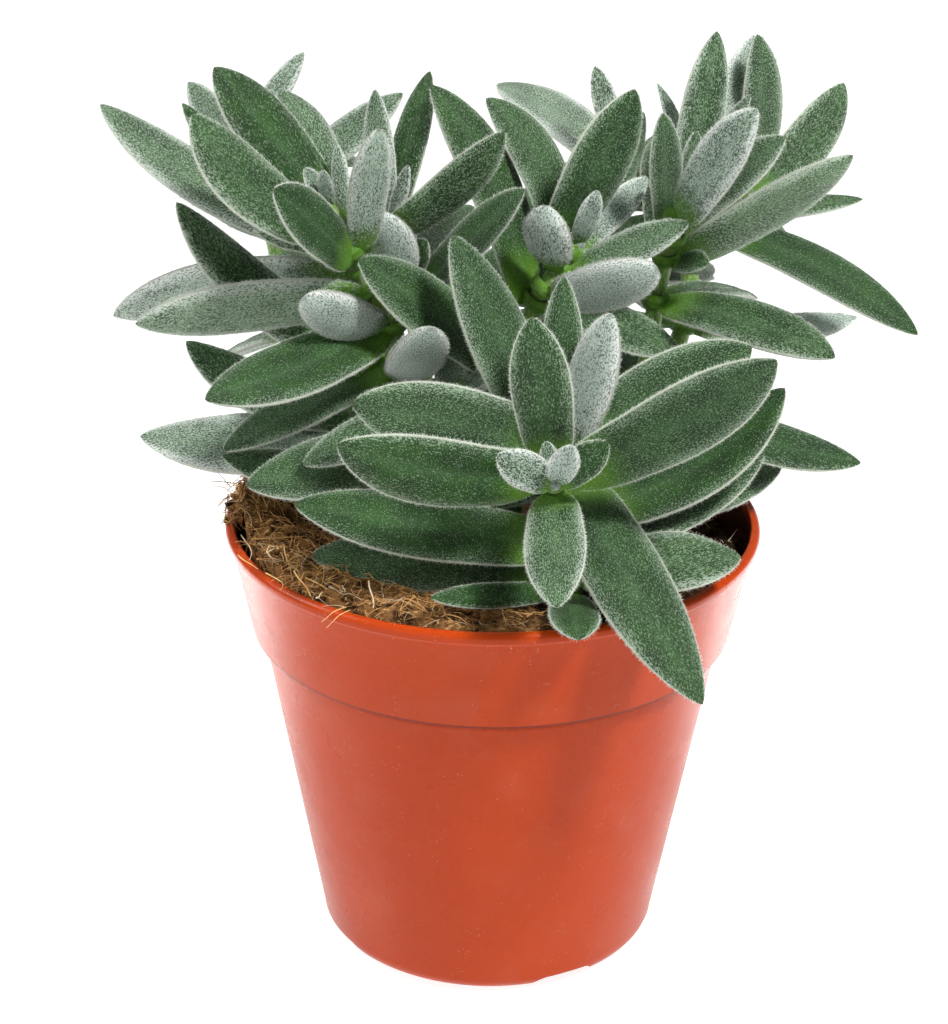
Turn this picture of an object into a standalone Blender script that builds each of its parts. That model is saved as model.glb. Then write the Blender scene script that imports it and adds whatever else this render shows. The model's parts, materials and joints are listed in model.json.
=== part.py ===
"""Potted crassula: a hairy-leaved succulent in a round plastic nursery pot.

Metres, +Z up.  The origin is the centre of the pot's underside, the front of the
plant looks towards -Y.  The plant is several rooted cuttings; every stem carries
opposite leaf pairs whose two bases are grown together round the stem.

The stems and leaf tips are set out on a layout drawing: a perspective view of the
plant from the front and slightly above.  A point of the drawing plus a depth (or a
leaf length) gives a point in space, see at() and aim().
"""
import math

import bpy
import bmesh
import numpy as np

# ---------------------------------------------------------------- driving dimensions (mm)
MM = 0.001
RIM_R = 42.5            # outer radius of the rim
POT_H = 72.2            # height of the pot
COLLAR_H = 17.6         # height of the collar below the rim
COLLAR_R = 38.6         # outer radius at the collar's lower edge
BODY_TOP_R = 37.0       # outer radius of the body just below the collar
BASE_R = 26.9           # outer radius at the base
BASE_ROUND = 3.2        # rounding between wall and base
WALL = 0.95             # wall thickness
FLOOR_T = 1.3           # thickness of the pot's floor
LIP_H = 1.6             # height of the rolled lip at the rim
LIP_OUT = 0.6           # how far the lip stands out
DRAINS = 4              # cut-outs round the base
DRAIN_W = 11.0
DRAIN_H = 2.2
GAP = 0.3               # clearance kept between neighbouring pieces
SOIL_TOP = 69.2         # mean height of the substrate
POT_SEGMENTS = 36
STEM_SIDES = 6
LEAF_AROUND = 6         # points round a leaf
LEAF_STATIONS = (0.0, 0.20, 0.44, 0.68, 0.88)   # along a leaf, then the tip
CLASP_WALL = 0.8        # wall of the sheath that joins a pair round its stem
CLASP_H = 2.2           # height of that sheath

# ---------------------------------------------------------------- layout drawing
EYE = np.array([-3.0, -435.0, 270.9])
PITCH = math.radians(24.49)
ROLL = math.radians(0.64)
FOCAL = 3000.0
MID_U, MID_V = 474.0, 512.0
FORWARD = np.array([0.0, math.cos(PITCH), -math.sin(PITCH)])
RIGHT = np.array([1.0, 0.0, 0.0])
UPWARD = np.array([0.0, math.sin(PITCH), math.cos(PITCH)])


def unit(v):
    n = np.linalg.norm(v)
    return v / n if n > 1e-9 else v


def sight(u, v):
    """Unit direction from the eye through the drawing's point (u, v)."""
    du, dv = u - MID_U, v - MID_V
    cr, sr = math.cos(ROLL), math.sin(ROLL)
    a, b = du * cr + dv * sr, -du * sr + dv * cr
    return unit(FORWARD + RIGHT * (a / FOCAL) - UPWARD * (b / FOCAL))


def at(u, v, y):
    """The point of space seen at (u, v) that lies at depth y."""
    d = sight(u, v)
    return EYE + d * ((y - EYE[1]) / d[1])


def aim(base, u, v, length, near):
    """Leaf chord from base to the sight line through (u, v), as long as length says.

    near = 1 takes the tip nearer the viewer, -1 the tip farther away."""
    d = sight(u, v)
    rel = EYE - base
    b = float(np.dot(rel, d))
    c = float(np.dot(rel, rel)) - length * length
    disc = b * b - c
    root = math.sqrt(disc) if disc > 0 else 0.0
    return EYE + d * (-b - near * root) - base


def polar(azimuth, elevation, length):
    """Leaf chord from a compass direction (0 = +X, 90 = +Y) and a rise, in degrees."""
    a, e = math.radians(azimuth), math.radians(elevation)
    return length * np.array([math.cos(a) * math.cos(e), math.sin(a) * math.cos(e), math.sin(e)])


# ---------------------------------------------------------------- the plant's layout
# L(u, v, length, width, near, ...)  leaf with its tip on the layout drawing; y gives
#       the tip's depth where the length is not the thing to hold
# P(azimuth, rise, length, width, ...)  leaf with its tip by compass direction
# arch: rise of the midline above the chord in mm (minus: the tip curls up)
# bow:  sideways bulge of the midline in mm, to the left of the leaf's own direction
# show: the most that the upper face may be turned away from the viewer, in degrees;
#       over 90 the pale underside shows
# blunt: roundness of the tip (lower is rounder);  thick: thickness over width
def L(u, v, length, width, near=1, arch=1.0, show=28.0, blunt=0.75, thick=0.30, y=None, bow=0.0):
    return dict(uv=(u, v), length=length, width=width, near=near, arch=arch, show=show,
                blunt=blunt, thick=thick, y=y, bow=bow)


def P(az, el, length, width, arch=1.0, show=180.0, blunt=0.75, thick=0.30):
    return dict(polar=(az, el), length=length, width=width, arch=arch, show=show,
                blunt=blunt, thick=thick, bow=0.0)


# every node: (name, (u, v, depth), [leaves]); nodes run from the substrate up, and
# the tip carries the youngest pairs and the terminal bud
STEMS = [
    # front cutting: rises at the pot's front and nods towards the viewer
    dict(name="stem_front", r=1.6, foot=(12.0, -20.0), nodes=[
        ("front_leaves_a", (567, 587, -24), [L(578, 638, 15, 7.4, 1, 0.5, y=-43), L(430, 598, 24, 4.4, 1, 0.5, bow=0.4)]),
        ("front_leaves_b", (569, 569, -23), [L(311, 555, 41, 10.8, 1, 1.0, y=-17, bow=0.5, thick=0.22), L(741, 556, 30, 10.4, 1, 1.5, y=-20, bow=-0.5, thick=0.20)]),
        ("front_leaves_c", (571, 545, -23), [L(294, 504, 43, 11.0, 1, -1.0, y=-27, thick=0.22), L(764, 451, 36, 9.0, -1, -0.5, y=-8, bow=-1.0, thick=0.25)]),
        ("front_leaves_d", (571, 511, -18.5), [L(785, 388, 39, 11.0, -1, -2.0, y=-10, bow=-2.2), L(782, 466, 38, 8.5, -1, -0.5, y=4, bow=-1.2)]),
        ("front_leaves_e", (568, 474, -17.5), [L(452, 235, 40, 11, -1, 0.5, y=-10), L(703, 713, 45, 12.5, 1, 3.5, y=-50, bow=-3.0)]),
        ("front_leaves_f", (563, 446, -21), [L(352, 403, 33, 11.6, 1, 1.2, y=-24), L(752, 347, 34, 11.5, -1, -1.5, y=-15)]),
        ("front_leaves_g", (561, 464, -25), [L(612, 313, 26, 8.5, 1, 0.5, 150, y=-31), L(564, 276, 32, 6.5, -1, 0.5, y=-22)]),
        ("front_leaves_h", (558, 482, -28.5), [L(337, 444, 36, 11.2, 1, 0.0, bow=1.8), L(777, 360, 39, 11.0, 1, -2.0, bow=-1.6)]),
        ("front_leaves_i", (553, 478, -32.5), [L(532, 317, 26, 9.0, 1, 0.5, y=-36), L(557, 608, 24, 9.0, 1, 1.0)]),
    ], tip=dict(name="front_bud", at=(555, 485, -37.5), leaves=[
        L(497, 455, 10, 5.8, 1, 0.5), L(608, 442, 10, 5.4, 1, 0.3), L(546, 441, 8, 3.0, 1, 0.2, y=-37), L(570, 449, 9, 4.8, 1, 0.3, 12, y=-42.0)])),
    # low left cutting, mostly hidden behind the front one
    dict(name="stem_low_left", r=1.5, foot=(-4.0, -5.0), nodes=[
        ("low_left_leaves_a", (464, 505, -6), [L(222, 456, 41, 9, 1, -1.0, y=-3), P(90, 5, 31, 9, 1.5), P(-10, 5, 30, 9, 1.0)]),
        ("low_left_leaves_b", (467, 462, -7), [L(303, 481, 28, 7.5, 1, 0.5, y=-20), P(90, 5, 28, 8, 1.5)]),
        ("low_left_leaves_c", (466, 432, -8), [L(246, 485, 38, 11.5, 1, 1.0, y=-14, bow=0.8), P(90, 5, 30, 9, 1.5)]),
    ], tip=dict(name="low_left_tip", at=(452, 398, -9), leaves=[
        P(115, 30, 12, 6), L(303, 465, 28, 7.5, 1, 0.5, y=-17), P(60, 40, 14, 7)])),
    # left cutting
    dict(name="stem_left", r=1.6, foot=(-14.0, 6.0), nodes=[
        ("left_leaves_a", (402, 412, 6), [L(140, 436, 43, 11.4, 1, 0.5, y=0, bow=3.0), L(186, 341, 36, 9.4, 1, 1.0, y=10, bow=4.0), P(130, 20, 25, 8.5, 2.0), P(110, -15, 30, 9, 1.5)]),
        ("left_leaves_b", (396, 368, 4), [L(176, 202, 44, 9.5, -1, 0.5, y=9, bow=3.5), L(432, 327, 24, 8.5, 1, -1.0, 150, blunt=0.5, y=-17), P(210, -15, 29, 9, 1.0)]),
        ("left_leaves_c", (392, 322, 0), [L(205, 400, 34, 10.8, 1, 1.0, bow=1.2), L(303, 297, 19, 8.2, 1, -1.0, 150, blunt=0.5)]),
        ("left_leaves_d", (374, 290, -2), [L(135, 324, 39, 10.0, 1, 1.0, 136, y=-8)]),
        ("left_leaves_e", (362, 272, 3), [L(113, 316, 40, 10.2, -1, 1.0, 145, y=13, bow=-1.4), P(110, -15, 28, 8.5, 1.5)]),
        ("left_leaves_f", (350, 252, 0), [L(273, 190, 28, 9.0, 1, 0.5), L(378, 128, 21, 6.8, 1, 0.5, 150, y=-3)]),
        ("left_leaves_g", (341, 237, 2), [L(100, 104, 44, 8.8, -1, 1.0, y=12, bow=2.5), L(252, 223, 16, 6.5, -1, 0.5, y=2), L(207, 205, 23, 6.5, -1, 0.5, y=9), P(110, 25, 30, 8.5, 1.5)]),
        ("left_leaves_h", (334, 224, 0), [L(192, 114, 33, 10.5, 1, 0.5, y=-4, bow=2.5), L(337, 145, 14, 3.2, -1, 0.3, y=6)]),
    ], tip=dict(name="left_bud", at=(329, 208, 4), leaves=[
        L(214, 67, 34, 10.4, 1, 0.5, y=11), L(279, 90, 24, 8.6, -1, 0.5, y=18, bow=-1.2), L(304, 168, 8, 3.4, 1, 0.2), L(324, 170, 7, 3, 1, 0.2)])),
    # second left cutting, just inside the first
    dict(name="stem_left_inner", r=1.5, foot=(-8.0, 12.0), nodes=[
        ("left_inner_leaves_a", (410, 290, 7), [L(525, 189, 27, 7.0, 1, 0.5, y=-6), L(470, 205, 30, 11, -1, 0.5, y=28), P(10, -15, 32, 9, 1.5)]),
        ("left_inner_leaves_b", (402, 270, 8), [L(372, 211, 12, 6.8, 1, -0.5, 150, y=0), L(427, 240, 8, 4.5, 1, 0.3, y=4), P(90, -15, 31, 8.5, 1.5)]),
    ], tip=dict(name="left_inner_bud", at=(387, 232, 5.5), leaves=[
        L(430, 71, 30, 6.2, -1, 0.5, y=17), L(504, 131, 27, 7.0, 1, 0.5, 150, y=-2, bow=-1.5), L(375, 89, 26, 5.2, -1, 0.5, y=11), L(409, 165, 13, 3.0, 1, 0.2, y=3)])),
    # middle cutting
    dict(name="stem_middle", r=1.6, foot=(3.0, 4.0), nodes=[
        ("middle_leaves_a", (521, 368, 1), [L(358, 259, 34, 10.5, 1, 0.5, y=-5), P(90, -15, 30, 9, 1.5), P(190, -15, 26, 8, 1.0)]),
        ("middle_leaves_b", (538, 300, 2), [L(430, 85, 39, 9.4, -1, 0.5, y=10, bow=-2.4), L(680, 352, 26, 8, -1, 0.5, y=6)]),
        ("middle_leaves_c", (546, 288, 0.5), [L(658, 268, 20, 8.5, 1, -1.0, 150, blunt=0.5)]),
        ("middle_leaves_d", (558, 270, 2.5), [L(547, 205, 14, 8.2, 1, -1.0, 150, blunt=0.7, y=-3), L(689, 223, 22, 6.5, 1, 0.5, y=1), P(50, 5, 30, 8.5, 1.5)]),
        ("middle_leaves_e", (571, 252, 4), [L(635, 89, 30, 10, -1, 0.5, y=10), L(486, 98, 30, 8.5, -1, 0.5, y=16, bow=-2.5), L(550, 168, 15, 3.5, -1, 0.3)]),
    ], tip=dict(name="middle_bud", at=(579, 246, 4), leaves=[
        L(644, 112, 24, 7, -1, 0.5, y=14), L(597, 190, 10, 4.0, 1, 0.3), L(610, 234, 6, 4, 1, 0.2), L(648, 177, 16, 5, -1, 0.3)])),
    # right cutting
    dict(name="stem_right", r=1.4, foot=(21.0, 9.0), nodes=[
        ("right_leaves_a", (642, 396, 6), [L(861, 463, 38, 8.2, 1, 0.5, y=0, bow=-1.5), P(100, 5, 25, 8.5, 2.0), P(50, -15, 30, 9, 1.5)]),
        ("right_leaves_b", (656, 300, 10), [L(835, 358, 32, 9.6, 1, 1.2, 36, bow=0.4), P(130, 5, 30, 9, 1.5), P(50, -15, 26, 8, 1.5)]),
        ("right_leaves_c", (666, 256, 9.5), [L(853, 155, 36, 8.4, 1, 0.5, 140, y=4, bow=-0.8), L(709, 264, 14, 4.5, 1, 0.5, y=3), P(90, 25, 26, 8, 1.5)]),
        ("right_leaves_d", (672, 236, 7), [L(662, 113, 21, 6.0, -1, 0.5, y=8)]),
        ("right_leaves_e", (677, 219, 5), [L(758, 109, 26, 8.6, 1, 1.0, y=-8), L(786, 137, 26, 7.5, 1, 1.0, y=-4)]),
    ], tip=dict(name="right_bud", at=(682, 208, 11), leaves=[
        L(717, 31, 30, 8.0, -1, 0.5, y=17), L(754, 35, 31, 6.5, -1, 0.5, y=27), L(657, 83, 21, 3.2, 1, 0.2, y=23, bow=-1.5), L(648, 178, 9, 4.2, 1, 0.3, y=6),
        L(696, 130, 13, 4, 1, 0.2), L(751, 94, 22, 4, 1, 0.2)])),
    # cuttings at the back
    dict(name="stem_back_left", r=1.5, foot=(-17.0, 22.0), nodes=[
        ("back_left_leaves_a", (300, 330, 30), [P(150, -30, 18, 8), P(50, 0, 32, 9), P(90, -15, 32, 9, 2.0), P(-10, -15, 30, 9, 1.5)]),
        ("back_left_leaves_b", (264, 200, 32), [L(403, 93, 34, 7.5, 1, 0.5, y=36), L(182, 103, 18, 4.5, 1, 0.3, y=28), P(70, -15, 32, 9, 1.5), P(110, -15, 30, 8.5, 2.0)]),
    ], tip=dict(name="back_left_bud", at=(238, 152, 34), leaves=[
        L(304, 52, 20, 5.2, 1, 0.5, y=38), L(188, 82, 14, 6.0, 1, 0.3, y=33), P(100, 0, 18, 6), P(200, 20, 8, 4), P(30, -15, 24, 7, 1.5)])),
    dict(name="stem_back_middle", r=1.5, foot=(4.0, 24.0), nodes=[
        ("back_middle_leaves_a", (604, 280, 32), [P(120, 0, 34, 9), P(60, -10, 30, 9), L(478, 262, 22, 10, -1, 0.5, y=26), P(90, 5, 32, 9, 2.0)]),
        ("back_middle_leaves_b", (628, 172, 32), [L(497, 84, 30, 9.2, -1, 0.5, bow=-1.4), P(90, -10, 28, 8), L(520, 205, 22, 10, -1, 0.5, y=27), P(50, 5, 29, 8.5, 1.5)]),
    ], tip=dict(name="back_middle_bud", at=(620, 152, 31), leaves=[
        L(595, 66, 17, 4.2, -1, 0.5, y=38), P(100, 0, 12, 5), P(60, 30, 8, 4), P(170, 20, 8, 4)])),
    dict(name="stem_back_right", r=1.5, foot=(21.0, 22.0), nodes=[
        ("back_right_leaves_a", (684, 325, 27), [L(857, 317, 27, 6.5, -1, 0.5, 35, y=30, bow=-1.5), P(110, -5, 30, 9), P(50, -15, 32, 9, 2.0), P(190, 5, 29, 9, 1.0)]),
        ("back_right_leaves_b", (690, 262, 29), [P(100, -15, 30, 8), P(75, -35, 12, 5), P(90, 5, 31, 9, 1.5)]),
        ("back_right_leaves_c", (702, 218, 30), [L(863, 199, 26, 5.2, 1, 0.5, 55, y=32), L(918, 335, 44, 8.2, 1, 1.0, y=17, bow=1.5), P(150, -10, 19, 7), P(70, -15, 26, 8, 1.5), P(130, -15, 30, 8.5, 1.5)]),
    ], tip=dict(name="back_right_bud", at=(750, 196, 23), leaves=[
        L(844, 83, 24, 8.4, -1, 0.5, y=34, bow=-1.5), P(110, -15, 20, 7), L(757, 34, 27, 7.6, -1, 0.5, y=20, bow=-1.2), P(110, 10, 9, 4), P(85, 25, 27, 8.0, 1.5)])),
]


# node pairs whose leaf bases crowd together: (younger, older)
CROWDED = [("left_inner_bud", "left_leaves_e"), ("middle_bud", "middle_leaves_e"),
           ("middle_leaves_e", "middle_leaves_d"), ("front_leaves_c", "front_leaves_b"),
           ("front_leaves_b", "front_leaves_a")]


# ---------------------------------------------------------------- curves and frames
def spline(points, per_span=5):
    """Catmull-Rom curve through the points."""
    pts = [np.asarray(p, float) for p in points]
    ext = [2 * pts[0] - pts[1]] + pts + [2 * pts[-1] - pts[-2]]
    out = []
    for i in range(1, len(ext) - 2):
        p0, p1, p2, p3 = ext[i - 1], ext[i], ext[i + 1], ext[i + 2]
        for k in range(per_span):
            t = k / per_span
            out.append(0.5 * (2 * p1 + (p2 - p0) * t + (2 * p0 - 5 * p1 + 4 * p2 - p3) * t * t
                              + (3 * p1 - p0 - 3 * p2 + p3) * t ** 3))
    out.append(pts[-1])
    return np.array(out)


def rotate(v, axis, angle):
    axis = unit(axis)
    return (v * math.cos(angle) + np.cross(axis, v) * math.sin(angle)
            + axis * np.dot(axis, v) * (1 - math.cos(angle)))


def reach(leaf, base):
    """Chord of a leaf from its base to its tip."""
    if "polar" in leaf:
        return polar(*leaf["polar"], leaf["length"])
    if leaf["y"] is not None:
        return at(*leaf["uv"], leaf["y"]) - base
    return aim(base, *leaf["uv"], leaf["length"], leaf["near"])


def facing(leaf, chord, axis):
    """Direction of the upper face at the leaf's middle."""
    t = unit(chord)
    n = axis - np.dot(axis, t) * t
    n = unit(n) if np.linalg.norm(n) > 0.05 else unit(np.array([0, 0, 1.0]) - t * t[2])
    if "uv" in leaf:
        # swing the upper face round the chord until enough of it shows
        face = unit(-FORWARD + np.dot(FORWARD, t) * t)
        swing = math.atan2(float(np.dot(np.cross(face, n), t)), float(np.dot(face, n)))
        most = math.radians(leaf["show"])
        if leaf["show"] > 90.0:
            swing = math.copysign(max(abs(swing), most), swing)
        else:
            swing = math.copysign(min(abs(swing), most), swing)
        n = rotate(face, t, swing)
    return n


def grow():
    """Turns the layout into stems and leaves in space."""
    stems, leaves = [], []
    for spec in STEMS:
        nodes = [at(*n[1]) for n in spec["nodes"]]
        tip = at(*spec["tip"]["at"])
        fx, fy = spec["foot"]
        foot = [np.array([fx, fy, SOIL_TOP - 11.0]), np.array([fx, fy, SOIL_TOP - 3.0])]
        path = foot + nodes + [tip]
        stems.append(dict(name=spec["name"], r=spec["r"], path=path, foot=(fx, fy)))
        groups = [(n[0], p, n[2]) for n, p in zip(spec["nodes"], nodes)]
        groups.append((spec["tip"]["name"], tip, spec["tip"]["leaves"]))
        for k, (name, point, specs) in enumerate(groups):
            i = k + 2
            ahead = path[i + 1] if i + 1 < len(path) else path[i] + (path[i] - path[i - 1])
            axis = unit(unit(ahead - path[i]) + unit(path[i] - path[i - 1]))
            last = k == len(groups) - 1
            for j, leaf in enumerate(specs):
                # chord from the node, then the base is moved to the stem's side
                chord = reach(leaf, point)
                side = unit(chord - np.dot(chord, axis) * axis)
                along = abs(float(np.dot(unit(chord), axis)))
                off = 0.5 if last else spec["r"] * 1.08 + GAP + 0.25 + girth(leaf, 0.0)[1] * along
                base = point + side * off
                chord = reach(leaf, base)
                leaves.append(dict(leaf, name="%s.%d" % (name, j), group=name, stem=spec["name"],
                                   base=base, chord=chord, n=facing(leaf, chord, axis), axis=axis, node=point,
                                   last=last, home=chord, moved=0.0, sway_tip=np.zeros(3),
                                   sway_mid=unit(np.cross(chord, FORWARD)) * leaf["bow"]))
    return stems, leaves


def midline(leaf, s):
    """Midline point, tangent, width direction and upper-face direction at s = 0..1."""
    c = (leaf["base"] + leaf["chord"] * s + leaf["n"] * leaf["arch"] * 4 * s * (1 - s)
         + leaf["sway_mid"] * 4 * s * (1 - s) + leaf["sway_tip"] * s * s)
    t = unit(leaf["chord"] + (leaf["n"] * leaf["arch"] + leaf["sway_mid"]) * 4 * (1 - 2 * s)
             + leaf["sway_tip"] * 2 * s)
    n = unit(leaf["n"] - np.dot(leaf["n"], t) * t)
    return c, t, np.cross(t, n), n


def girth(leaf, s):
    """Half width, upper and lower half thickness at s."""
    w = leaf["width"] * 0.5
    if s < 0.5:
        f = 0.42 + 0.58 * math.sin(math.pi * s) ** 0.8
    else:
        x = (s - 0.5) / 0.5
        f = max(0.0, 1 - x ** 2.3) ** leaf["blunt"]
    g = 0.86 + 0.14 * math.sin(math.pi * min(1.0, s * 1.6)) if s < 0.62 else 1.0
    th = leaf["width"] * leaf["thick"] * g * min(1.0, f * 1.15) ** 0.8
    return w * f, th * 0.36, th * 0.64


RAIL = np.linspace(0.0, 1.0, 12)
PROBE = np.array([0.12, 0.22, 0.33, 0.44, 0.55, 0.66, 0.77, 0.87, 0.95])
RING = np.array([(1, 0), (0.7, 0.7), (0, 1), (-0.7, 0.7), (-1, 0), (-0.7, -0.7), (0, -1), (0.7, -0.7)], float)


def frames(base, chord, nrm, arch, mid, end, stations):
    """Midline frames of many leaves at once, as in midline()."""
    s = stations[None, :, None]
    bow = (nrm * arch[:, None] + mid)[:, None, :]
    c = base[:, None, :] + chord[:, None, :] * s + bow * 4 * s * (1 - s) + end[:, None, :] * s * s
    t = chord[:, None, :] + bow * 4 * (1 - 2 * s) + end[:, None, :] * 2 * s
    t = t / np.linalg.norm(t, axis=2, keepdims=True)
    n = nrm[:, None, :] - (nrm[:, None, :] * t).sum(2, keepdims=True) * t
    n = n / np.linalg.norm(n, axis=2, keepdims=True)
    return c, t, np.cross(t, n), n


def skin(frame, g):
    """Points on the skin of the leaves at the probe stations."""
    c, t, w, n = frame
    half = np.where(RING[:, 1] > 0, 1, 2)
    pts = (c[:, :, None, :] + w[:, :, None, :] * (g[:, :, 0:1] * RING[:, 0])[..., None]
           + n[:, :, None, :] * (g[:, :, half] * RING[:, 1])[..., None])
    return pts.reshape(len(c), -1, 3)


def dips(rail, g, pts):
    """For skin points against leaves (row by row): how far each point is inside."""
    c, t, w, n = rail
    diff = pts[:, :, None, :] - c[:, None, :, :]
    near = (diff ** 2).sum(3).argmin(2)
    row = np.arange(len(c))[:, None]
    rel = pts - c[row, near]
    lt = np.abs((rel * t[row, near]).sum(2))
    lw = (rel * w[row, near]).sum(2)
    ln = (rel * n[row, near]).sum(2)
    a = g[row, near, 0] + 0.30
    h = np.where(ln > 0, g[row, near, 1], g[row, near, 2]) + 0.40
    full = (lw / a) ** 2 + (ln / h) ** 2
    deep = np.where((full < 1.0) & (lt < 2.6), (1.0 - np.sqrt(full)) * h, 0.0)
    return deep, near, lw, ln, a


def arrange(stems, leaves, sweeps=4):
    """Every leaf takes the nearest depth at which it is clear of its neighbours.

    The tip moves along its sight line, so it stays where the drawing has it."""
    count = len(leaves)
    groups = sorted({lf["group"] for lf in leaves})
    group = np.array([groups.index(lf["group"]) for lf in leaves])
    g_rail = np.array([[girth(lf, s) for s in RAIL] for lf in leaves])
    g_rail = np.maximum(g_rail, 0.12)
    g_probe = np.array([[girth(lf, s) for s in PROBE] for lf in leaves])
    arch = np.array([lf["arch"] for lf in leaves], float)
    zero = np.zeros((1, 3))
    base = np.array([lf["base"] for lf in leaves])
    posts, post_r, post_g = firm_points(stems, leaves, group)

    def shape(k, chord, nrm):
        one = slice(k, k + 1)
        args = (base[one], chord[None, :], nrm[None, :], arch[one], leaves[k]["sway_mid"][None, :], zero)
        rail = frames(*args, RAIL)
        return rail, skin(frames(*args, PROBE), g_probe[one])

    rails, skins = [], []
    for k, lf in enumerate(leaves):
        rail, pts = shape(k, lf["chord"], lf["n"])
        rails.append([x[0] for x in rail])
        skins.append(pts[0])
    rails = [np.array([r[m] for r in rails]) for m in range(4)]
    skins = np.array(skins)

    def cost(k, rail, pts):
        heart, reach = rail[0][0].mean(axis=0), 0.0
        reach = np.linalg.norm(rail[0][0] - heart, axis=1).max()
        others = np.linalg.norm(rails[0] - heart, axis=2).min(axis=1) < reach + 9.0
        idx = np.nonzero(others & (group != group[k]))[0]
        total = 0.0
        if len(idx):
            a = dips([r[idx] for r in rails], g_rail[idx], np.repeat(pts, len(idx), axis=0))[0]
            b = dips([np.repeat(r, len(idx), axis=0) for r in rail], np.repeat(g_rail[k:k + 1], len(idx), axis=0),
                     skins[idx])[0]
            total += float(np.maximum(a.max(axis=1), b.max(axis=1)).sum() + 0.05 * (a > 0).sum())
        keep = post_g != group[k]
        gap = np.linalg.norm(pts[0][16:, None, :] - posts[None, keep, :], axis=2) - post_r[keep]
        total += max(0.0, -float(gap.min()))
        ground = floor_under(pts[0]) - pts[0][:, 2]
        return total + max(0.0, float(ground.max()))

    for sweep in range(sweeps):
        moved = 0
        for k, lf in enumerate(leaves):
            rail = [r[k:k + 1] for r in rails]
            now = cost(k, rail, skins[k:k + 1])
            if now < 0.05:
                continue
            best, choice = now + 0.03 * abs(lf["moved"]), None
            for d in (2.0, -2.0, 4.0, -4.0, 6.0, -6.0, 8.0, -8.0):
                d += lf["moved"]
                if abs(d) > 10.0:
                    continue
                if "uv" in lf:
                    chord = at(*lf["uv"], (lf["base"] + lf["home"])[1] + d) - lf["base"]
                    stretch = np.linalg.norm(chord) / np.linalg.norm(lf["home"])
                    if not 0.72 < stretch < 1.22:
                        continue
                else:
                    chord = polar(lf["polar"][0] + 5.0 * d, lf["polar"][1] + 2.0 * d, lf["length"])
                nrm = facing(lf, chord, lf["axis"])
                rail, pts = shape(k, chord, nrm)
                value = cost(k, rail, pts) + 0.03 * abs(d)
                if value < best - 0.02:
                    best, choice = value, (chord, nrm, rail, pts, d)
            if choice:
                lf["chord"], lf["n"], lf["moved"] = choice[0], choice[1], choice[4]
                for m in range(4):
                    rails[m][k] = choice[2][m][0]
                skins[k] = choice[3][0]
                moved += 1
        if moved == 0:
            break


def firm_points(stems, leaves, group):
    """Spheres that stand for the stems and for the sheaths round them."""
    posts, radii, owner = [], [], []
    for st in stems:
        for p in spline(st["path"], 3):
            posts.append(p)
            radii.append(st["r"] * 1.08 + GAP + 0.15)
            owner.append(-1)
    seen = set()
    for k, lf in enumerate(leaves):
        if lf["group"] not in seen:
            seen.add(lf["group"])
            posts.append(lf["node"])
            radii.append(3.1 if not lf["last"] else 2.3)
            owner.append(group[k])
    return np.array(posts), np.array(radii), np.array(owner)


def floor_under(pts):
    """Height that leaf skin has to keep above, over the substrate and the rim."""
    x, y, z = pts[..., 0], pts[..., 1], pts[..., 2]
    rad = np.hypot(x, y)
    side = np.clip(-0.035 * x - 0.012 * y, -2.6, 1.7)
    lump = 0.5 * np.sin(0.31 * x + 1.3) * np.cos(0.27 * y - 0.4) + 0.35 * np.sin(0.53 * y + 0.21 * x)
    floor = np.where(rad < RIM_R - 2.4, SOIL_TOP + side + lump + 0.5, np.where(rad < RIM_R + 1.2, POT_H + 0.7, -999.0))
    return np.where((rad > RIM_R + 0.5) & (z < POT_H - 3.0), -999.0, floor)


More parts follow.
